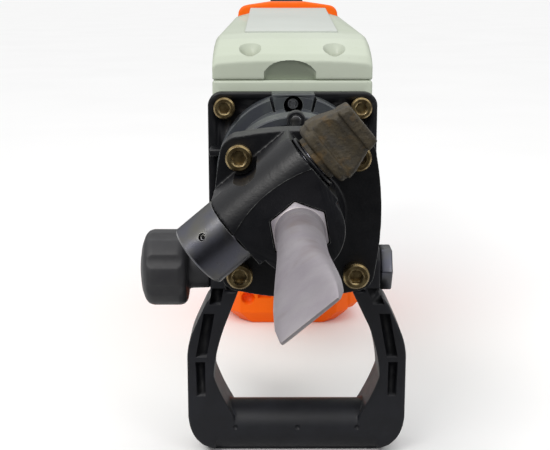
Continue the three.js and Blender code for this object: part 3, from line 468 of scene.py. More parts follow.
def turned(axis, profile, sides=64, at=(0, 0, 0)):
    """Closed solid of revolution from (radius, height) pairs; a ring if it never meets the axis."""
    bm = bmesh.new()
    place = AXES[axis]
    shift = Vector(at)
    rings = []
    for radius, height in profile:
        if radius < 1e-6:
            rings.append([bm.verts.new(place(0, 0, height) + shift)])
        else:
            rings.append([
                bm.verts.new(place(radius * math.cos(a), radius * math.sin(a), height) + shift)
                for a in (2 * math.pi * k / sides for k in range(sides))
            ])
    pairs = list(zip(rings, rings[1:]))
    if profile[0][0] > 1e-6:
        pairs.append((rings[-1], rings[0]))
    for one, other in pairs:
        for k in range(sides):
            n = (k + 1) % sides
            corners = [one[k % len(one)], one[n % len(one)], other[n % len(other)], other[k % len(other)]]
            unique = list(dict.fromkeys(corners))
            if len(unique) > 2:
                bm.faces.new(unique)
    bmesh.ops.recalc_face_normals(bm, faces=bm.faces)
    return bm


def rod(axis, radius, low, high, at=(0, 0, 0), sides=64):
    return turned(axis, [(0, low), (radius, low), (radius, high), (0, high)], sides, at)


def cuboid(x0, x1, y0, y1, z0, z1):
    return prism("Z", [(x0, y0), (x1, y0), (x1, y1), (x0, y1)], z0, z1)


def loft(rings):
    """Closed solid through rings of equal point count."""
    bm = bmesh.new()
    made = [[bm.verts.new(p) for p in ring] for ring in rings]
    count = len(rings[0])
    bm.faces.new(made[0][::-1])
    bm.faces.new(made[-1])
    for one, other in zip(made, made[1:]):
        for k in range(count):
            n = (k + 1) % count
            bm.faces.new((one[k], one[n], other[n], other[k]))
    bmesh.ops.recalc_face_normals(bm, faces=bm.faces)
    return bm


def to_object(name, solids, matrix=TO_ROW):
    """One object from one or more bmesh solids, placed in the row frame in metres."""
    whole = bmesh.new()
    for bm in solids if isinstance(solids, list) else [solids]:
        mesh = bpy.data.meshes.new(name)
        bm.to_mesh(mesh)
        bm.free()
        whole.from_mesh(mesh)
        bpy.data.meshes.remove(mesh)
    mesh = bpy.data.meshes.new(name)
    whole.to_mesh(mesh)
    whole.free()
    mesh.transform(matrix)
    made = bpy.data.objects.new(name, mesh)
    bpy.context.scene.collection.objects.link(made)
    return made


def apply_modifiers(thing):
    """Bakes the modifiers into the mesh."""
    depsgraph = bpy.context.evaluated_depsgraph_get()
    mesh = bpy.data.meshes.new_from_object(thing.evaluated_get(depsgraph))
    thing.modifiers.clear()
    old = thing.data
    thing.data = mesh
    bpy.data.meshes.remove(old)


def boolean(thing, operation, solids, matrix):
    tool = to_object("tool", solids, matrix)
    modifier = thing.modifiers.new("boolean", "BOOLEAN")
    modifier.operation = operation
    modifier.solver = "EXACT"
    modifier.object = tool
    apply_modifiers(thing)
    bpy.data.objects.remove(tool)


def cut(thing, cutters, matrix=TO_ROW):
    """Takes the cutters' solids out of thing."""
    for cutter in cutters:
        boolean(thing, "DIFFERENCE", cutter, matrix)


def intersect(thing, solids, matrix=TO_ROW):
    """Keeps what lies inside the solids."""
    boolean(thing, "INTERSECT", solids, matrix)


def fuse(thing, voxel_mm, smoothing):
    """Melts overlapping solids into one casting with small fillets."""
    modifier = thing.modifiers.new("remesh", "REMESH")
    modifier.mode = "VOXEL"
    modifier.voxel_size = voxel_mm * MM
    modifier.use_smooth_shade = True
    modifier = thing.modifiers.new("smooth", "SMOOTH")
    modifier.factor = 0.5
    modifier.iterations = smoothing
    apply_modifiers(thing)


def bevel(thing, width_mm, segments=3, angle=30):
    """Rounds every edge that turns by more than angle degrees."""
    modifier = thing.modifiers.new("bevel", "BEVEL")
    modifier.width = width_mm * MM
    modifier.segments = segments
    modifier.limit_method = "ANGLE"
    modifier.angle_limit = math.radians(angle)
    apply_modifiers(thing)
    thing.data.shade_smooth()
    return thing


def sharpen(thing, angle=35):
    """Keeps the edges that turn by more than angle degrees crisp."""
    thing.data.set_sharp_from_angle(angle=math.radians(angle))


def merge(target, others):
    """Joins the meshes of others into target; all are already placed in the row frame."""
    whole = bmesh.new()
    whole.from_mesh(target.data)
    for other in others:
        whole.from_mesh(other.data)
        bpy.data.objects.remove(other)
    whole.to_mesh(target.data)
    whole.free()


def also(thing, slot, look=None, body="machine"):
    """Gives a piece its material, from its look or else its slot, and its body; it may share a replaced node
    with another piece.
    """
    thing.data.materials.clear()
    thing.data.materials.append(MATERIALS[look or slot])
    thing.data.shade_smooth()
    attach(thing, body)


def finish(thing, node, slot, look=None):
    """Gives a piece its material, from its look or else its slot, and its body, and lets it stand for its
    CAD node.
    """
    bodies = frame["record"]["behaviour"]["bodies"]
    body = next(name for name, members in bodies.items() if node in members)
    also(thing, slot, look, body)
    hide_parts(node)


def dress_cad_nodes():
    """Every CAD node gets its slot's material and softened edges; many are replaced afterwards."""
    slots = {part["node"]: part["material_slot"] for part in frame["record"]["subparts"]}
    for name, thing in frame["nodes"].items():
        thing.data.materials.clear()
        thing.data.materials.append(MATERIALS[slots[name]])
        modifier = thing.modifiers.new("bevel", "BEVEL")
        modifier.width = 0.5 * MM
        modifier.segments = 2
        modifier.limit_method = "ANGLE"
        modifier.angle_limit = math.radians(35)
        thing.data.shade_smooth()


# ---- front end -------------------------------------------
def cover_outline(scale=1.0):
    """Rounded square with sides that swell outwards and a lower edge that hangs a little."""
    reach = COVER["half"] * scale
    centre = COVER["half"] - COVER["corner"]
    low, drop = centre + COVER["drop"], COVER["drop"]
    radius = reach - centre
    control = reach + 2 * COVER["bulge"]
    corners = [(centre, centre), (-centre, centre), (-centre, -low), (centre, -low)]
    middles = [(0, control), (-control, 0), (0, -control - drop - 1), (control, 0)]
    ends = [(-centre, reach), (-reach, -low), (centre, -reach - drop), (reach, centre)]
    points = []
    for quarter in range(4):
        corner = arc(*corners[quarter], radius, 90 * quarter, 90 * quarter + 90, 12)
        points += corner + quadratic(corner[-1], middles[quarter], ends[quarter], 16)[:-1]
    return points


def cover_screw_places():
    screw = COVER["screw"]
    return [(sx * screw, sz * screw - (COVER["drop"] if sz < 0 else 0)) for sx, sz in SIGNS]


def lying(radius, low, high, sides=64):
    """Cylinder on the retainer axis, in the leaning frame."""
    return rod("X", radius, low, high, (0, BOSS["depth"], BOSS["offset"]), sides)


def front_cover():
    mouth, radius = COLLAR["mouth"], COLLAR["radius"]
    high = BOSS["offset"] + BOSS["radius"]
    body = to_object("front_cover_casting", [
        turned("Y", [
            (0, mouth), (radius - 1.1, mouth), (radius - 0.3, mouth + 0.4), (radius, mouth + 1.2),
            (radius, -5), (radius + 4, 1), (0, 1),
        ], 128),
        cuboid(BOSS["from"], BOSS["to"], BOSS["depth"], 1, 0, high),
        cuboid(BOSS["from"], BOSS["to"], mouth, 1, 0, BOSS["offset"]),
    ], TO_LEANING)
    boss = to_object("boss", lying(BOSS["radius"], BOSS["from"], BOSS["to"], sides=128), TO_LEANING)
    plate = to_object("plate", prism("Y", cover_outline(), 0, COVER["depth"]))
    merge(body, [plate, boss])
    fuse(body, 0.6, 3)
    milled = (0, 0, FACE["top"] - FACE["radius"])
    cut(body, [rod("Y", FACE["radius"], -60, mouth + 0.3, milled, 256)], TO_LEANING)
    screw = COVER["screw"]
    cut(body, [rod("Y", 10.8, -75, -0.4, (-screw, 0, screw), 64)])
    cut(body, [prism("Y", hexagon(HEX + 1.6), mouth - 10, COVER["depth"] + 1)], TO_LEANING)
    cut(body, [lying(11.3, BOSS["from"] - 1, 14)], TO_LEANING)
    cut(body, [lying(SEAT["radius"], SEAT["from"], BOSS["to"] + 1)], TO_LEANING)
    holes = [rod("Y", SCREW_HOLE, -2, COVER["depth"] + 1, (x, 0, z), 32) for x, z in cover_screw_places()]
    cut(body, [holes])
    finish(body, "front_cover", "black_casting")
    sharpen(body, 40)


def blade_section(y, half_x, half_z, power, count=72):
    """Superellipse section in X and Z at depth y."""
    ring = []
    for k in range(count):
        angle = 2 * math.pi * k / count
        c, s = math.cos(angle), math.sin(angle)
        reach = (abs(c) ** power + abs(s) ** power) ** (-1 / power)
        ring.append(Vector((half_x * reach * c, y, half_z * reach * s)))
    return ring


def chisel():
    stations = [
        (-56, 13.2, 13.2, 2), (-90, 13.1, 13.1, 2), (-112, 13.2, 13.0, 2.05), (-126, 13.7, 12.2, 2.3),
        (-140, 14.5, 10.9, 2.7), (-152, 15.3, 9.6, 3.1), (-165, 16.1, 8.2, 3.7), (-177, 16.6, 6.9, 4.5),
        (-188, 16.9, 5.1, 5.5), (-198, 17, 3.7, 7), (-199, 16.95, 3.5, 7),
        (-211.4, 15.8, 1.2, 9), (-212.5, 15.1, 0.6, 9),
    ]
    smooth = []
    for one, other in zip(stations, stations[1:]):
        steps = 6 if other[0] > -199 else 1
        for k in range(steps):
            t = k / steps
            smooth.append([a + (b - a) * t for a, b in zip(one, other)])
    smooth.append(stations[-1])
    blade = to_object("chisel_blade", loft([blade_section(*station) for station in smooth]), TO_LEANING)
    corner = HEX / math.sqrt(3)
    front, back = -51.7, 100
    rounding = turned("Y", [
        (0, front), (HEX / 2 - 1, front), (HEX / 2 - 0.2, front + 0.5), (corner + 0.4, front + 3.6),
        (corner + 0.4, back - 4), (HEX / 2 - 2, back), (0, back),
    ], 96)
    shank = to_object("shank", prism("Y", hexagon(HEX), front - 1, back + 1), TO_LEANING)
    bevel(shank, 0.7, 2)
    intersect(shank, rounding, TO_LEANING)
    notch = BOSS["offset"] - SHAFT - 0.6
    cut(shank, [cuboid(-20, 20, BOSS["depth"] - 16.8, 3, notch, 20)], TO_LEANING)
    neck = to_object("neck", turned("Y", [
        (0, -60), (13.2, -60), (13.5, -55.5), (14.2, -52.6), (14.4, front + 0.6), (0, front + 0.6),
    ], 96), TO_LEANING)
    merge(shank, [neck, blade])
    shank.name = "chisel_forging"
    finish(shank, "chisel", "tool_steel")
    sharpen(shank, 32)


def pin_direction():
    tilt = math.radians(SLEEVE["pin_tilt"])
    return Vector((0, -math.cos(tilt), math.sin(tilt)))


def along(direction, bm, at):
    """Turns a solid drawn about Z so that Z points along direction, then moves it to at."""
    turn = direction.to_track_quat("Z", "X").to_matrix().to_4x4()
    bmesh.ops.transform(bm, matrix=Matrix.Translation(Vector(at)) @ turn, verts=bm.verts)
    return bm


def retainer():
    at = (0, BOSS["depth"], BOSS["offset"])
    radius, low, high = SLEEVE["radius"], SLEEVE["from"], SLEEVE["to"]
    sleeve = to_object("retainer_sleeve_turned", turned("X", [
        (0, low), (radius - 2.2, low), (radius - 0.9, low + 0.35), (radius, low + 1.4),
        (radius, high - 0.7), (radius - 0.7, high), (11.4, high), (11.4, low + 4.8), (0, low + 4.8),
    ], 160, at), TO_LEANING)
    pin_at = (SLEEVE["pin_at"], BOSS["depth"], BOSS["offset"])
    cut(sleeve, [along(pin_direction(), rod("Z", 2.35, -30, 30, sides=32), pin_at)], TO_LEANING)
    finish(sleeve, "retainer_sleeve", "gunmetal")
    sharpen(sleeve)
    profile = [(0.9, -18.2), (1.7, -18.2), (2, -17.6), (2, 17.6), (1.7, 18.2), (0.9, 18.2)]
    pin = along(pin_direction(), turned("Z", profile, 32), pin_at)
    finish(to_object("retainer_pin_rolled", pin, TO_LEANING), "retainer_roll_pin", "gunmetal")
    shaft = to_object("retainer_shaft_ground", turned("X", [
        (0, -52), (SHAFT - 0.6, -52), (SHAFT, -51.4), (SHAFT, 43.4), (SHAFT - 0.6, 44), (0, 44),
    ], 96, at), TO_LEANING)
    cut(shaft, [cuboid(-18, 18, -50, -10, 2 * BOSS["offset"] - HEX / 2 - 0.4, 60)], TO_LEANING)
    finish(shaft, "retainer_shaft", "gunmetal")
    sharpen(shaft)
    washer = to_object("retainer_washer_turned", turned("X", [
        (11.3, 28.5), (16.4, 28.5), (16.7, 28.8), (16.7, 30), (16.4, 30.3), (11.3, 30.3),
    ], 96, at), TO_LEANING)
    finish(washer, "retainer_washer", "gunmetal", "black_casting")


def lever():
    """Rough cast turning handle with a D-shaped inner lip, a dished body and an outer rib."""
    y, z = BOSS["depth"], BOSS["offset"]

    def section(x, deep, wide, corner, shift=0.0):
        return [Vector((x, p, q)) for p, q in rounded_box(deep, wide, corner, y, z + shift, 8)]

    body = to_object("retainer_lever_casting", [
        loft([
            section(34.4, 14.4, 17.6, 9), section(35.6, 14.9, 18.6, 9), section(40.4, 14.9, 18.8, 9),
            section(41.2, 14.4, 18.4, 9),
        ]),
        loft([section(39.5, 12.9, 19.6, 5), section(45, 12.9, 18.9, 5), section(58, 12.6, 14.0, 5)]),
        loft([
            section(58, 14.2, 13.4, 3), section(58.8, 14.9, 14.0, 3), section(64.6, 14.8, 12.8, 3),
            section(65.3, 14.2, 12.2, 3),
        ]),
    ], TO_LEANING)
    fuse(body, 0.42, 4)
    cut(body, [rod("Z", 13, -20, 70, (49.8, y - 24.6, 0), 96)], TO_LEANING)
    merge(body, [to_object("collar", rod("X", 14, 30.9, 35, (0, y, z), 64), TO_LEANING)])
    fuse(body, 0.42, 2)
    texture = bpy.data.textures.new("cast_skin", "CLOUDS")
    texture.noise_scale = 2.2 * MM
    texture.noise_depth = 3
    modifier = body.modifiers.new("skin", "DISPLACE")
    modifier.texture = texture
    modifier.strength = 0.4 * MM
    modifier.mid_level = 0.6
    apply_modifiers(body)
    finish(body, "retainer_lever", "rough_cast")


# ---- fasteners -------------------------------------------
def cap_screw(name, thread, length, matrix, slot, node, knurls=36):
    """Hexagon-socket cap screw with a knurled head; its seat is y = 0 and its head points to -Y."""
    head = 0.8 * thread
    height = thread
    bm = bmesh.new()
    count = 4 * knurls
    levels = [(0, head - 0.4), (-height + 1.4, head), (-height + 0.35, head - 0.75), (-height, head - 1.15)]
    rings = []
    for depth, radius in levels:
        ring = []
        for k in range(count):
            dip = 0.16 if k % 4 in (0, 1) and depth > -height + 1 else 0
            angle = 2 * math.pi * k / count
            reach = radius - dip
            ring.append(bm.verts.new((reach * math.cos(angle), depth, reach * math.sin(angle))))
        rings.append(ring)
    for one, other in zip(rings, rings[1:]):
        for k in range(count):
            n = (k + 1) % count
            bm.faces.new((one[k], one[n], other[n], other[k]))
    bm.faces.new(rings[0][::-1])
    bm.faces.new(rings[-1])
    bmesh.ops.recalc_face_normals(bm, faces=bm.faces)
    made = to_object(name, bm, matrix)
    socket = prism("Y", hexagon(0.8 * thread), -height - 1, -height * 0.48)
    wide, bottom = 0.49 * thread, -height + 0.7
    mouth = turned("Y", [
        (0, -height - 1), (wide, -height - 1), (wide, -height), (0.4 * thread, bottom), (0, bottom),
    ], 48)
    cut(made, [socket], matrix)
    cut(made, [mouth], matrix)
    merge(made, [to_object("shank", rod("Y", thread / 2, 0.05, length, sides=32), matrix)])
    finish(made, node, slot)
    sharpen(made, 28)


def screw_at(x, y, z):
    return TO_ROW @ Matrix.Translation(Vector((x, y, z)))


def case_screw_places():
    return [(sx * FLANGE["screw"], FLANGE["centre_z"] + sz * FLANGE["screw"]) for sx, sz in SIGNS]


def fasteners():
    for corner, (x, z) in zip(CORNERS, cover_screw_places()):
        cap_screw(f"cover_cap_screw_{corner}", 10, 24, screw_at(x, -GAP, z), "zinc_yellow",
                  f"cover_flange_screw_{corner}")
    for corner, (x, z) in zip(CORNERS, case_screw_places()):
        cap_screw(f"case_cap_screw_{corner}", 10, 24, screw_at(x, BARREL["flange_front"] - GAP, z),
                  "zinc_yellow", f"case_screw_{corner}")
    cap_screw("tab_cap_screw", 6, 11, screw_at(0, TAB_SCREW["y"], TAB_SCREW["z"]), "bright_steel",
              "top_tab_screw", 24)
    for corner, (x, y, z) in COVER_SCREWS.items():
        upright = screw_at(x, y, z - 5.7) @ Matrix.Rotation(-math.pi / 2, 4, "X")
        cap_screw(f"crank_cap_screw_{corner}", 8, z - 58, upright, "zinc_yellow",
                  f"crank_cover_screw_{corner}")


# ---- cylinder case ---------------------------------------
def cylinder_case():
    front = COVER_DEPTH
    flange = to_object("case_rear_flange", prism(
        "Y", rounded_box(FLANGE["half_x"], FLANGE["half_z"], FLANGE["corner"], 0, FLANGE["centre_z"], 12),
        BARREL["flange_front"], BARREL["flange_back"],
    ))
    bevel(flange, 1.2, 3)
    cut(flange, [[rod("Y", SCREW_HOLE, 160, 190, (x, 0, z), 32) for x, z in case_screw_places()]])
    cut(flange, [rod("Y", 30.4, 160, 190, sides=64)])
    finish(flange, "cylinder_case", "black_casting")

    shell, collar, collar_front = BARREL["radius"], BARREL["collar"], BARREL["collar_front"]
    barrel = to_object("case_barrel", turned("Y", [
        (27, front + 1), (44.2, front + 1), (shell, front + 13), (shell, 100), (shell - 2.5, 104),
        (shell - 2.5, 142), (shell + 1, 146), (shell + 2, collar_front), (collar - 0.9, collar_front),
        (collar, collar_front + 0.9), (collar, 173.5), (30.4, 173.5), (30.4, 158), (27, 158),
    ], 160))
    clearances = [
        rod("Y", FLANGE["clearance"], 130, BARREL["flange_front"] - 0.05, (x, 0, z), 64)
        for x, z in case_screw_places()
    ]
    cut(barrel, [clearances])
    slot = [(12.6, 44), (14.6, 44), (18.7, 59), (15.6, 59)]
    slots = [prism("Y", [(side * x, z) for x, z in slot], collar_front - 2, 166) for side in (-1, 1)]
    cut(barrel, [slots])
    cut(barrel, [rod("Y", 7, 140, 168, (0, 0, TAB_SCREW["z"]), 64)])
    # The look is a lighter copy of the black casting: painted light.
    also(barrel, "black_casting", "black_casting_painted_lit")
    sharpen(barrel)

    nose = to_object("case_front_flange", prism("Y", cover_outline(0.985), front, front + 13))
    bevel(nose, 0.8, 3)
    cut(nose, [rod("Y", 27, front - 1, front + 20)])
    holes = [rod("Y", SCREW_HOLE, front - 1, front + 20, (x, 0, z), 32) for x, z in cover_screw_places()]
    cut(nose, [holes])
    also(nose, "black_casting")

    tab_outline = [(-15.8, 57), (-12.8, 43), (12.8, 43), (15.8, 57)]
    tab = to_object("case_tab", prism("Y", tab_outline, collar_front + 0.1, 173.2))
    bevel(tab, 0.7, 3)
    cut(tab, [rod("Y", 7, 140, 168, (0, 0, TAB_SCREW["z"]), 64)])
    cut(tab, [rod("Y", 3.4, 160, 175, (0, 0, TAB_SCREW["z"]), 32)])
    # The look is a lighter copy of the black casting: painted light.
    also(tab, "black_casting", "black_casting_painted_lit")
    fin = to_object("case_fin", cuboid(-61.8, -50, 150.5, 173, 11.4, 16.6))
    also(bevel(fin, 1.2, 3), "black_casting")
    boss = to_object("case_plug_boss", turned("Y", [
        (3.8, 56.2), (5.4, 56.2), (6, 56.8), (6, 65.2), (3.8, 65.2),
    ], 64, (0, 0, OIL_PLUG_Z)))
    also(boss, "black_casting")
    sharpen(boss)
    plug = to_object("oil_plug_turned", turned("Y", [
        (0, 54.7), (2.4, 54.7), (3.3, 55), (3.6, 55.7), (3.6, 61.6), (0, 61.6),
    ], 48, (0, 0, OIL_PLUG_Z)))
    finish(plug, "oil_plug", "gunmetal")
    sharpen(plug)


# ---- grey gear case --------------------------------------
def crank_case():
    half, low, top = CASE["half"], CASE["bottom"], CASE["split"]
    outline = [(half, top), (-half, top)]
    outline += arc(-half + 8, low + 8, 8, 180, 270, 8)
    outline += arc(half - 8, low + 8, 8, 270, 360, 8)
    body = to_object("crank_case_casting", prism("Y", outline, CASE["front"], CASE["back"]))
    bevel(body, 2.2, 4, 40)
    ribs = []
    for k in range(7):
        y = 236 + 26 * k
        for side in (-1, 1):
            ribs.append(prism("Y", rounded_box(3.2, 38, 3, side * (half + 1.4), -4, 4), y, y + 13))
    cut(body, [ribs])
    bevel(body, 0.5, 2, 40)
    cut(body, [rod("Y", 30.4, CASE["front"] - 1, CASE["front"] + 21)])
    finish(body, "crank_case", "grey_casting")


def cover_ring(y, half, wall_top, shoulder, shoulder_top, middle):
    """Half section of the cover at depth y, mirrored: wall, chamfer and gently crowned top."""
    right = [(half, CASE["split"] + GAP), (half, wall_top)]
    right += quadratic((half, wall_top), (half - 0.5, shoulder_top - 1.6), (shoulder, shoulder_top), 5)
    right += [(shoulder * 0.72, (shoulder_top + middle) / 2 + 0.3), (shoulder * 0.45, middle)]
    left = [(-x, z) for x, z in reversed(right)]
    return [Vector((x, y, z)) for x, z in right + left]


def crank_cover():
    bottom, front, back, half = CASE["split"] + GAP, CASE["front"], CASE["back"], CASE["half"]
    body = to_object("crank_cover_casting", [
        loft([
            cover_ring(front + 0.5, half, 73.5, 57, 76.5, 78.5),
            cover_ring(front + 5, half, 78, 56.6, 82, 83.5),
            cover_ring(front + 15, half, 82, 56.3, 88, 89),
            cover_ring(front + 30, half, 85.5, 56, 93, 94),
            cover_ring(CREST["front"], half, 88, 55.5, 96, CREST["low"]),
            cover_ring(back, 55, 88, 46.5, 105.5, CREST["high"]),
        ]),
    ])
    posts = [rod("Z", 9.6, bottom, 77, (side * 32, front + 10, 0), 64) for side in (-1, 1)]
    merge(body, [to_object("posts", posts)])
    fuse(body, 0.85, 5)
    arch = [(-21.5, bottom - 4), (18, bottom - 4), (18, 70)]
    arch += quadratic((18, 70), (12, 79), (-1.7, 79), 10)
    arch += quadratic((-1.7, 79), (-16, 79), (-21.5, 70), 10)
    cut(body, [prism("Y", arch, front - 3, front + 4.5)])
    pockets = [
        turned("Z", [(0, z - 6), (7.6, z - 6), (8.4, z + 1), (8.4, z + 30), (0, z + 30)], 48, (x, y, 0))
        for x, y, z in COVER_SCREWS.values()
    ]
    cut(body, [pockets])
    finish(body, "crank_cover", "grey_casting")


def label_panel():
    slope = (CREST["high"] - CREST["low"]) / (CASE["back"] - CREST["front"])
    rings = []
    for y, half in ((240, 37), (418, 36)):
        z = CREST["low"] + slope * (y - CREST["front"])
        corners = [(half, z - 1.2), (half, z + 1.6), (-half, z + 1.6), (-half, z - 1.2)]
        rings.append([Vector((x, y, height)) for x, height in corners])
    panel = to_object("label_panel_blank", loft(rings))
    bevel(panel, 0.8, 4)
    finish(panel, "label_panel", "label_grey")


# ---- side handle -----------------------------------------
def side_handle():
    top, middle = SWING["z"] + 16, (FLOOR + LOOP["low"]) / 2
    outer = [(ARM["outer"], top), (ARM["outer"], -70.7)]
    outer += quadratic(outer[-1], (60.5, -73), (62.9, -78)) + [(69.4, -92.2)]
    outer += quadratic(outer[-1], (74.6, -103.5), (74.6, -114), 12) + [(74.6, -156)]
    outer += quadratic(outer[-1], (73.5, -176), (56, FLOOR + 3), 12) + [(56, middle)]
    inner = [(43, middle), (43, -156)]
    inner += quadratic(inner[-1], (52, -141), (56.6, -127), 12)
    inner += quadratic(inner[-1], (56.2, -112), (49, -91.4), 12)
    inner += [(38.3, ARM["shelf"]), (ARM["inner"], ARM["shelf"]), (ARM["inner"], top)]
    pockets = [
        [(47.9, -64), (55.6, -64), (59, -75.4), (51.4, -75.4)],
        [(55.5, -81.8), (62.9, -81.8), (68.7, -112.4), (61.2, -112.4)],
        [(62.4, -116.1), (69, -116.1), (68.4, -140.5), (62.3, -140.5)],
    ]

    def placed(points, side):
        return [(side * x + (ARM["aside"] if z < ARM["bend"] else 0), z) for x, z in points]

    centre_y = (LOOP["front"] + LOOP["back"]) / 2
    front, back = LOOP["front"] + 0.2, LOOP["back"] - 0.2
    arms = [prism("Y", placed(outer + inner, side), front, back) for side in (-1, 1)]
    body = to_object("side_handle_moulding", arms)
    intersect(body, prism("X", rounded_box(17.3, 74.5, 12, centre_y, -111, 12), -90, 90))
    grip = rod("X", (LOOP["low"] - FLOOR) / 2 - 0.1, -62, 64, (0, centre_y, middle), 96)
    sole = cuboid(-58, 58, centre_y - 8, centre_y + 8, FLOOR + 0.1, FLOOR + 8)
    merge(body, [to_object("grip", [grip, sole])])
    fuse(body, 0.85, 7)
    cut(body, [[prism("Y", placed(points, side), 50, 70) for points in pockets for side in (-1, 1)]])
    cut(body, [[rod("Y", 1.6, 50, 62.6, (x, 0, middle + 3), 24) for x in (-41, 2, 43)]])
    cut(body, [rod("X", BOLT_HOLE, -70, 70, (0, SWING["y"], SWING["z"]), 48)])
    finish(body, "side_handle", "black_plastic")


def clamp():
    at = (0, SWING["y"], SWING["z"])
    knob = to_object("clamp_knob_moulding", turned("X", [
        (0, -104.8), (9, -104.5), (17, -103.2), (22.4, -101.2), (25, -99), (26, -96), (26, -78),
        (25, -75), (23, -73.2), (20, -72.6), (14.6, -71.8), (14.3, -69), (14, -57.5), (0, -57.5),
    ], 128, at))
    flutes = []
    for k in range(8):
        angle = math.radians(45 * k + 22.5)
        spot = (0, SWING["y"] + 38 * math.cos(angle), SWING["z"] + 38 * math.sin(angle))
        flutes.append(rod("X", 13.2, -110, -74, spot, 48))
    cut(knob, [flutes])
    fuse(knob, 0.7, 6)
    cut(knob, [rod("X", BOLT_HOLE, -82, -50, at)])
    finish(knob, "clamp_knob", "knob_plastic")
    outline = [(SWING["y"] + u, SWING["z"] + v) for u, v in hexagon(28)]
    head = to_object("clamp_bolt_forged", prism("X", outline, 57.4, 65.7))
    bevel(head, 1.2, 3)
    merge(head, [to_object("shank", rod("X", 6, -80, 58, at, 48))])
    finish(head, "clamp_bolt", "gunmetal")


def handle_band():
    front, back, reach = BAND["front"], BAND["back"], BAND["reach"]
    inner, outer = BAND["inner"], BAND["outer"]
    profile = [
        (inner, front + 0.4), (inner + 0.5, front), (outer - 0.8, front), (outer, front + 0.8),
        (outer, back - 0.8), (outer - 0.8, back), (inner + 0.5, back), (inner, back - 0.4),
    ]
    hoop = to_object("side_handle_hoop", turned("Y", profile, 160))
    block = to_object("block", cuboid(-reach, reach, front, back, SWING["z"], SWING["z"] + 11))
    bevel(block, 0.8, 3)
    merge(block, [to_object("eye", rod("X", 12, -reach, reach, (0, SWING["y"], SWING["z"]), 96))])
    cut(block, [rod("Y", inner + 0.1, 40, 120, sides=160)])
    cut(block, [rod("X", BOLT_HOLE, -60, 60, (0, SWING["y"], SWING["z"]), 48)])
    merge(hoop, [block])
    # The look is a lighter copy of the black casting: painted light.
    finish(hoop, "side_handle_band", "black_casting", "black_casting_painted_lit")
    sharpen(hoop)


# ---- motor housing and tail ------------------------------
def cut_corners(half, front, back, front_cut, back_cut):
    """Rectangle in plan with cut corners, mirrored left to right."""
    right = [(half - front_cut, front), (half, front + front_cut), (half, back - back_cut),
             (half - back_cut, back)]
    return right + [(-x, y) for x, y in reversed(right)]


def level(outline, z):
    return [Vector((x, y, z)) for x, y in outline]


def cheeks(levels):
    return loft([level(cut_corners(half, CHEEK["front"], CHEEK["back"], 8, 8), z) for z, half in levels])


def motor_housing():
    top, low = CASE["bottom"] - GAP, MOTOR["tail_top"]
    plan = cut_corners(MOTOR["half"], MOTOR["front"], MOTOR["back"], 12, 22)
    body = to_object("motor_housing_moulding", [
        loft([level(plan, low + 0.2), level(plan, top)]),
        cheeks([
            (low + 0.2, CHEEK["half"]), (CHEEK["high"] - 9, CHEEK["half"]),
            (CHEEK["high"], MOTOR["half"] - 1),
        ]),
    ])
    fuse(body, 0.9, 5)
    vents = [
        prism("X", rounded_box(2, 7, 1.9, MOTOR["y"] + back, -85, 6), side * 60 - 8, side * 60 + 8)
        for back in (13, 22, 31) for side in (-1, 1)
    ]
    cut(body, [vents])
    finish(body, "motor_housing", "orange_plastic")


def tail_cover():
    top, chamfer = MOTOR["tail_top"] - GAP, 12

    def ring(z, inset):
        front = MOTOR["front"] + 0.55 * inset
        return level(cut_corners(MOTOR["half"] - inset, front, MOTOR["back"] - inset, 12, 22), z)

    body = to_object("tail_cover_moulding", [
        loft([ring(top, 0), ring(FLOOR + chamfer, 0), ring(FLOOR + 0.1, chamfer)]),
        cheeks([(top, CHEEK["half"]), (CHEEK["low"] + 5, CHEEK["half"]), (CHEEK["low"], CHEEK["half"] - 5)]),
    ])
    fuse(body, 0.8, 3)
    wells = []
    for side in (-1, 1):
        wells.append(rod("Y", 6.5, 340, MOTOR["front"] + 9, (side * 38.4, 0, -157.6), 64))
        slot = rounded_box(6.5, 2.4, 1.2, side * 22.5, -155.5, 4)
        wells.append(prism("Y", slot, 340, MOTOR["front"] + 4))
        wells.append(rod("X", 7.3, side * 66 - 3, side * 66 + 4, (0, MOTOR["y"], BRUSH_Z), 64))
    cut(body, [wells])
    finish(body, "tail_cover", "orange_plastic")
    for name, side in (("left", -1), ("right", 1)):
        profile = [(0, 60), (7, 60), (7, 66.4), (6.6, 67), (5.8, 67.4), (0, 67.4)]
        cap = to_object(f"brush_cap_turned_{name}", turned(
            "X", [(radius, side * x) for radius, x in profile], 64, (0, MOTOR["y"], BRUSH_Z)))
        face, y = side * 67, MOTOR["y"]
        cut(cap, [cuboid(face - 1.4, face + 1.4, y - 9, y + 9, BRUSH_Z - 0.8, BRUSH_Z + 0.8)])
        finish(cap, f"brush_cap_{name}", "black_plastic")


# ---- rear housing and grip -------------------------------
def rear_housing():
    def ring(y, half, low, high):
        shoulder = half - 16.5
        right = [(half, low), (half, high - 38)] + arc(shoulder, high - 10.5, 9, 0, 75, 6)
        right += [(shoulder * 0.45, high + 1.4)]
        return [Vector((x, y, z)) for x, z in right + [(-x, z) for x, z in reversed(right)]]

    half, low, top = REAR["half"], CASE["bottom"], REAR["top"]
    body = to_object("rear_housing_moulding", loft([
        ring(REAR["front"], half, low, top), ring(480, half - 3, low, top),
        ring(REAR["back"], half - 18, low + 14, top - 6),
    ]))
    bevel(body, 2.5, 4, 20)
    slots = [
        prism("X", rounded_box(1.8, 17, 1.7, 441 + 9 * k, 40, 6), side * 55 - 3, side * 55 + 3)
        for k in range(4) for side in (-1, 1)
    ]
    cut(body, [slots])
    finish(body, "rear_housing", "orange_plastic")
    sharpen(body)


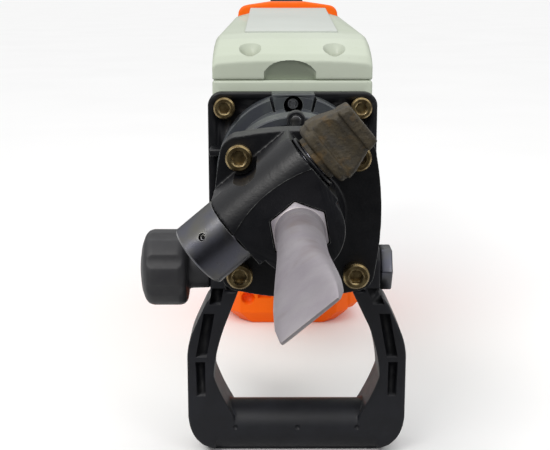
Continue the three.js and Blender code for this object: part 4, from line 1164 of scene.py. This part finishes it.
def rear_handle():
    start = REAR["back"] + GAP
    outline = [(start, -50), (start, 108)]
    outline += quadratic(outline[-1], (start + 6, GRIP["top"]), (start + 24, GRIP["top"]))
    outline += [(574, GRIP["top"])]
    outline += quadratic(outline[-1], (GRIP["back"], GRIP["top"] - 2), (GRIP["back"], 86), 12) + [(596, -8)]
    outline += quadratic(outline[-1], (592, -50), (560, -50), 12)
    hole = [(524, -20)] + quadratic((524, -20), (520, -20), (520, -14)) + [(520, 80)]
    hole += quadratic(hole[-1], (520, 90), (532, 90)) + [(554, 90)]
    hole += quadratic(hole[-1], (572, 90), (571, 72)) + [(564, -8)]
    hole += quadratic(hole[-1], (562, -20), (552, -20))
    for name, side in (("left", -1), ("right", 1)):
        body = to_object(f"rear_grip_{name}", prism("X", outline, -GRIP["half"], GRIP["half"]))
        cut(body, [prism("X", hole, -30, 30)])
        bevel(body, 5, 5, 40)
        cut(body, [cuboid(-6.5, 6.5, 552, 588, 22, 82)])
        cut(body, [rod("Y", 8.3, 570, 620, CABLE_INLET, 64)])
        cut(body, [rod("X", 5.3, -30, -8, LOCK_BUTTON, 48)])
        skin = side * (GRIP["half"] + 0.4)
        ribs = [
            prism("X", rounded_box(1, 22, 0.9, 590 - 5 * k - 0.6, 30, 4), skin - 1.2, skin + 1.2)
            for k in range(4)
        ]
        cut(body, [ribs])
        low, high = (-0.15, 30) if side < 0 else (-30, 0.15)
        cut(body, [cuboid(low, high, 490, 620, -60, 130)])
        finish(body, f"rear_handle_{name}", "rubber")
        sharpen(body)


def controls():
    outline = [(562, 78)] + quadratic((562, 78), (557, 56), (558, 40), 10)
    outline += [(554, 30), (566, 28), (576, 40), (578, 78)]
    trigger = to_object("trigger_moulding", prism("X", outline, -5.8, 5.8))
    bevel(trigger, 1.3, 4)
    finish(trigger, "trigger", "black_plastic")
    button = to_object("lock_button_turned", turned("X", [
        (0, -20.5), (3.6, -20.5), (4.5, -20.1), (4.9, -19.3), (4.9, -12), (0, -12),
    ], 64, LOCK_BUTTON))
    finish(button, "lock_button", "black_plastic")
    sharpen(button)
    profile = [(3.4, 574), (8, 574), (8, 598), (10, 598.4)]
    profile += [(10.5, 600), (10.5, 605), (10, 606.6), (8.6, 607)]
    for k in range(5):
        radius, y = 8.4 - 0.42 * k, 608 + 5 * k
        profile += [(radius, y), (radius, y + 2.6), (radius - 1.4, y + 2.9), (radius - 1.5, y + 4.7)]
    profile += [(6.2, 633), (5.8, 634), (3.4, 634)]
    inlet = to_object("cable_inlet_moulding", turned("Y", profile, 64, CABLE_INLET))
    finish(inlet, "cable_inlet", "rubber")
    sharpen(inlet)


make_camera()
make_stage()
dress_cad_nodes()
front_cover()
chisel()
retainer()
lever()
fasteners()
cylinder_case()
crank_case()
crank_cover()
label_panel()
side_handle()
clamp()
handle_band()
motor_housing()
tail_cover()
rear_housing()
rear_handle()
controls()
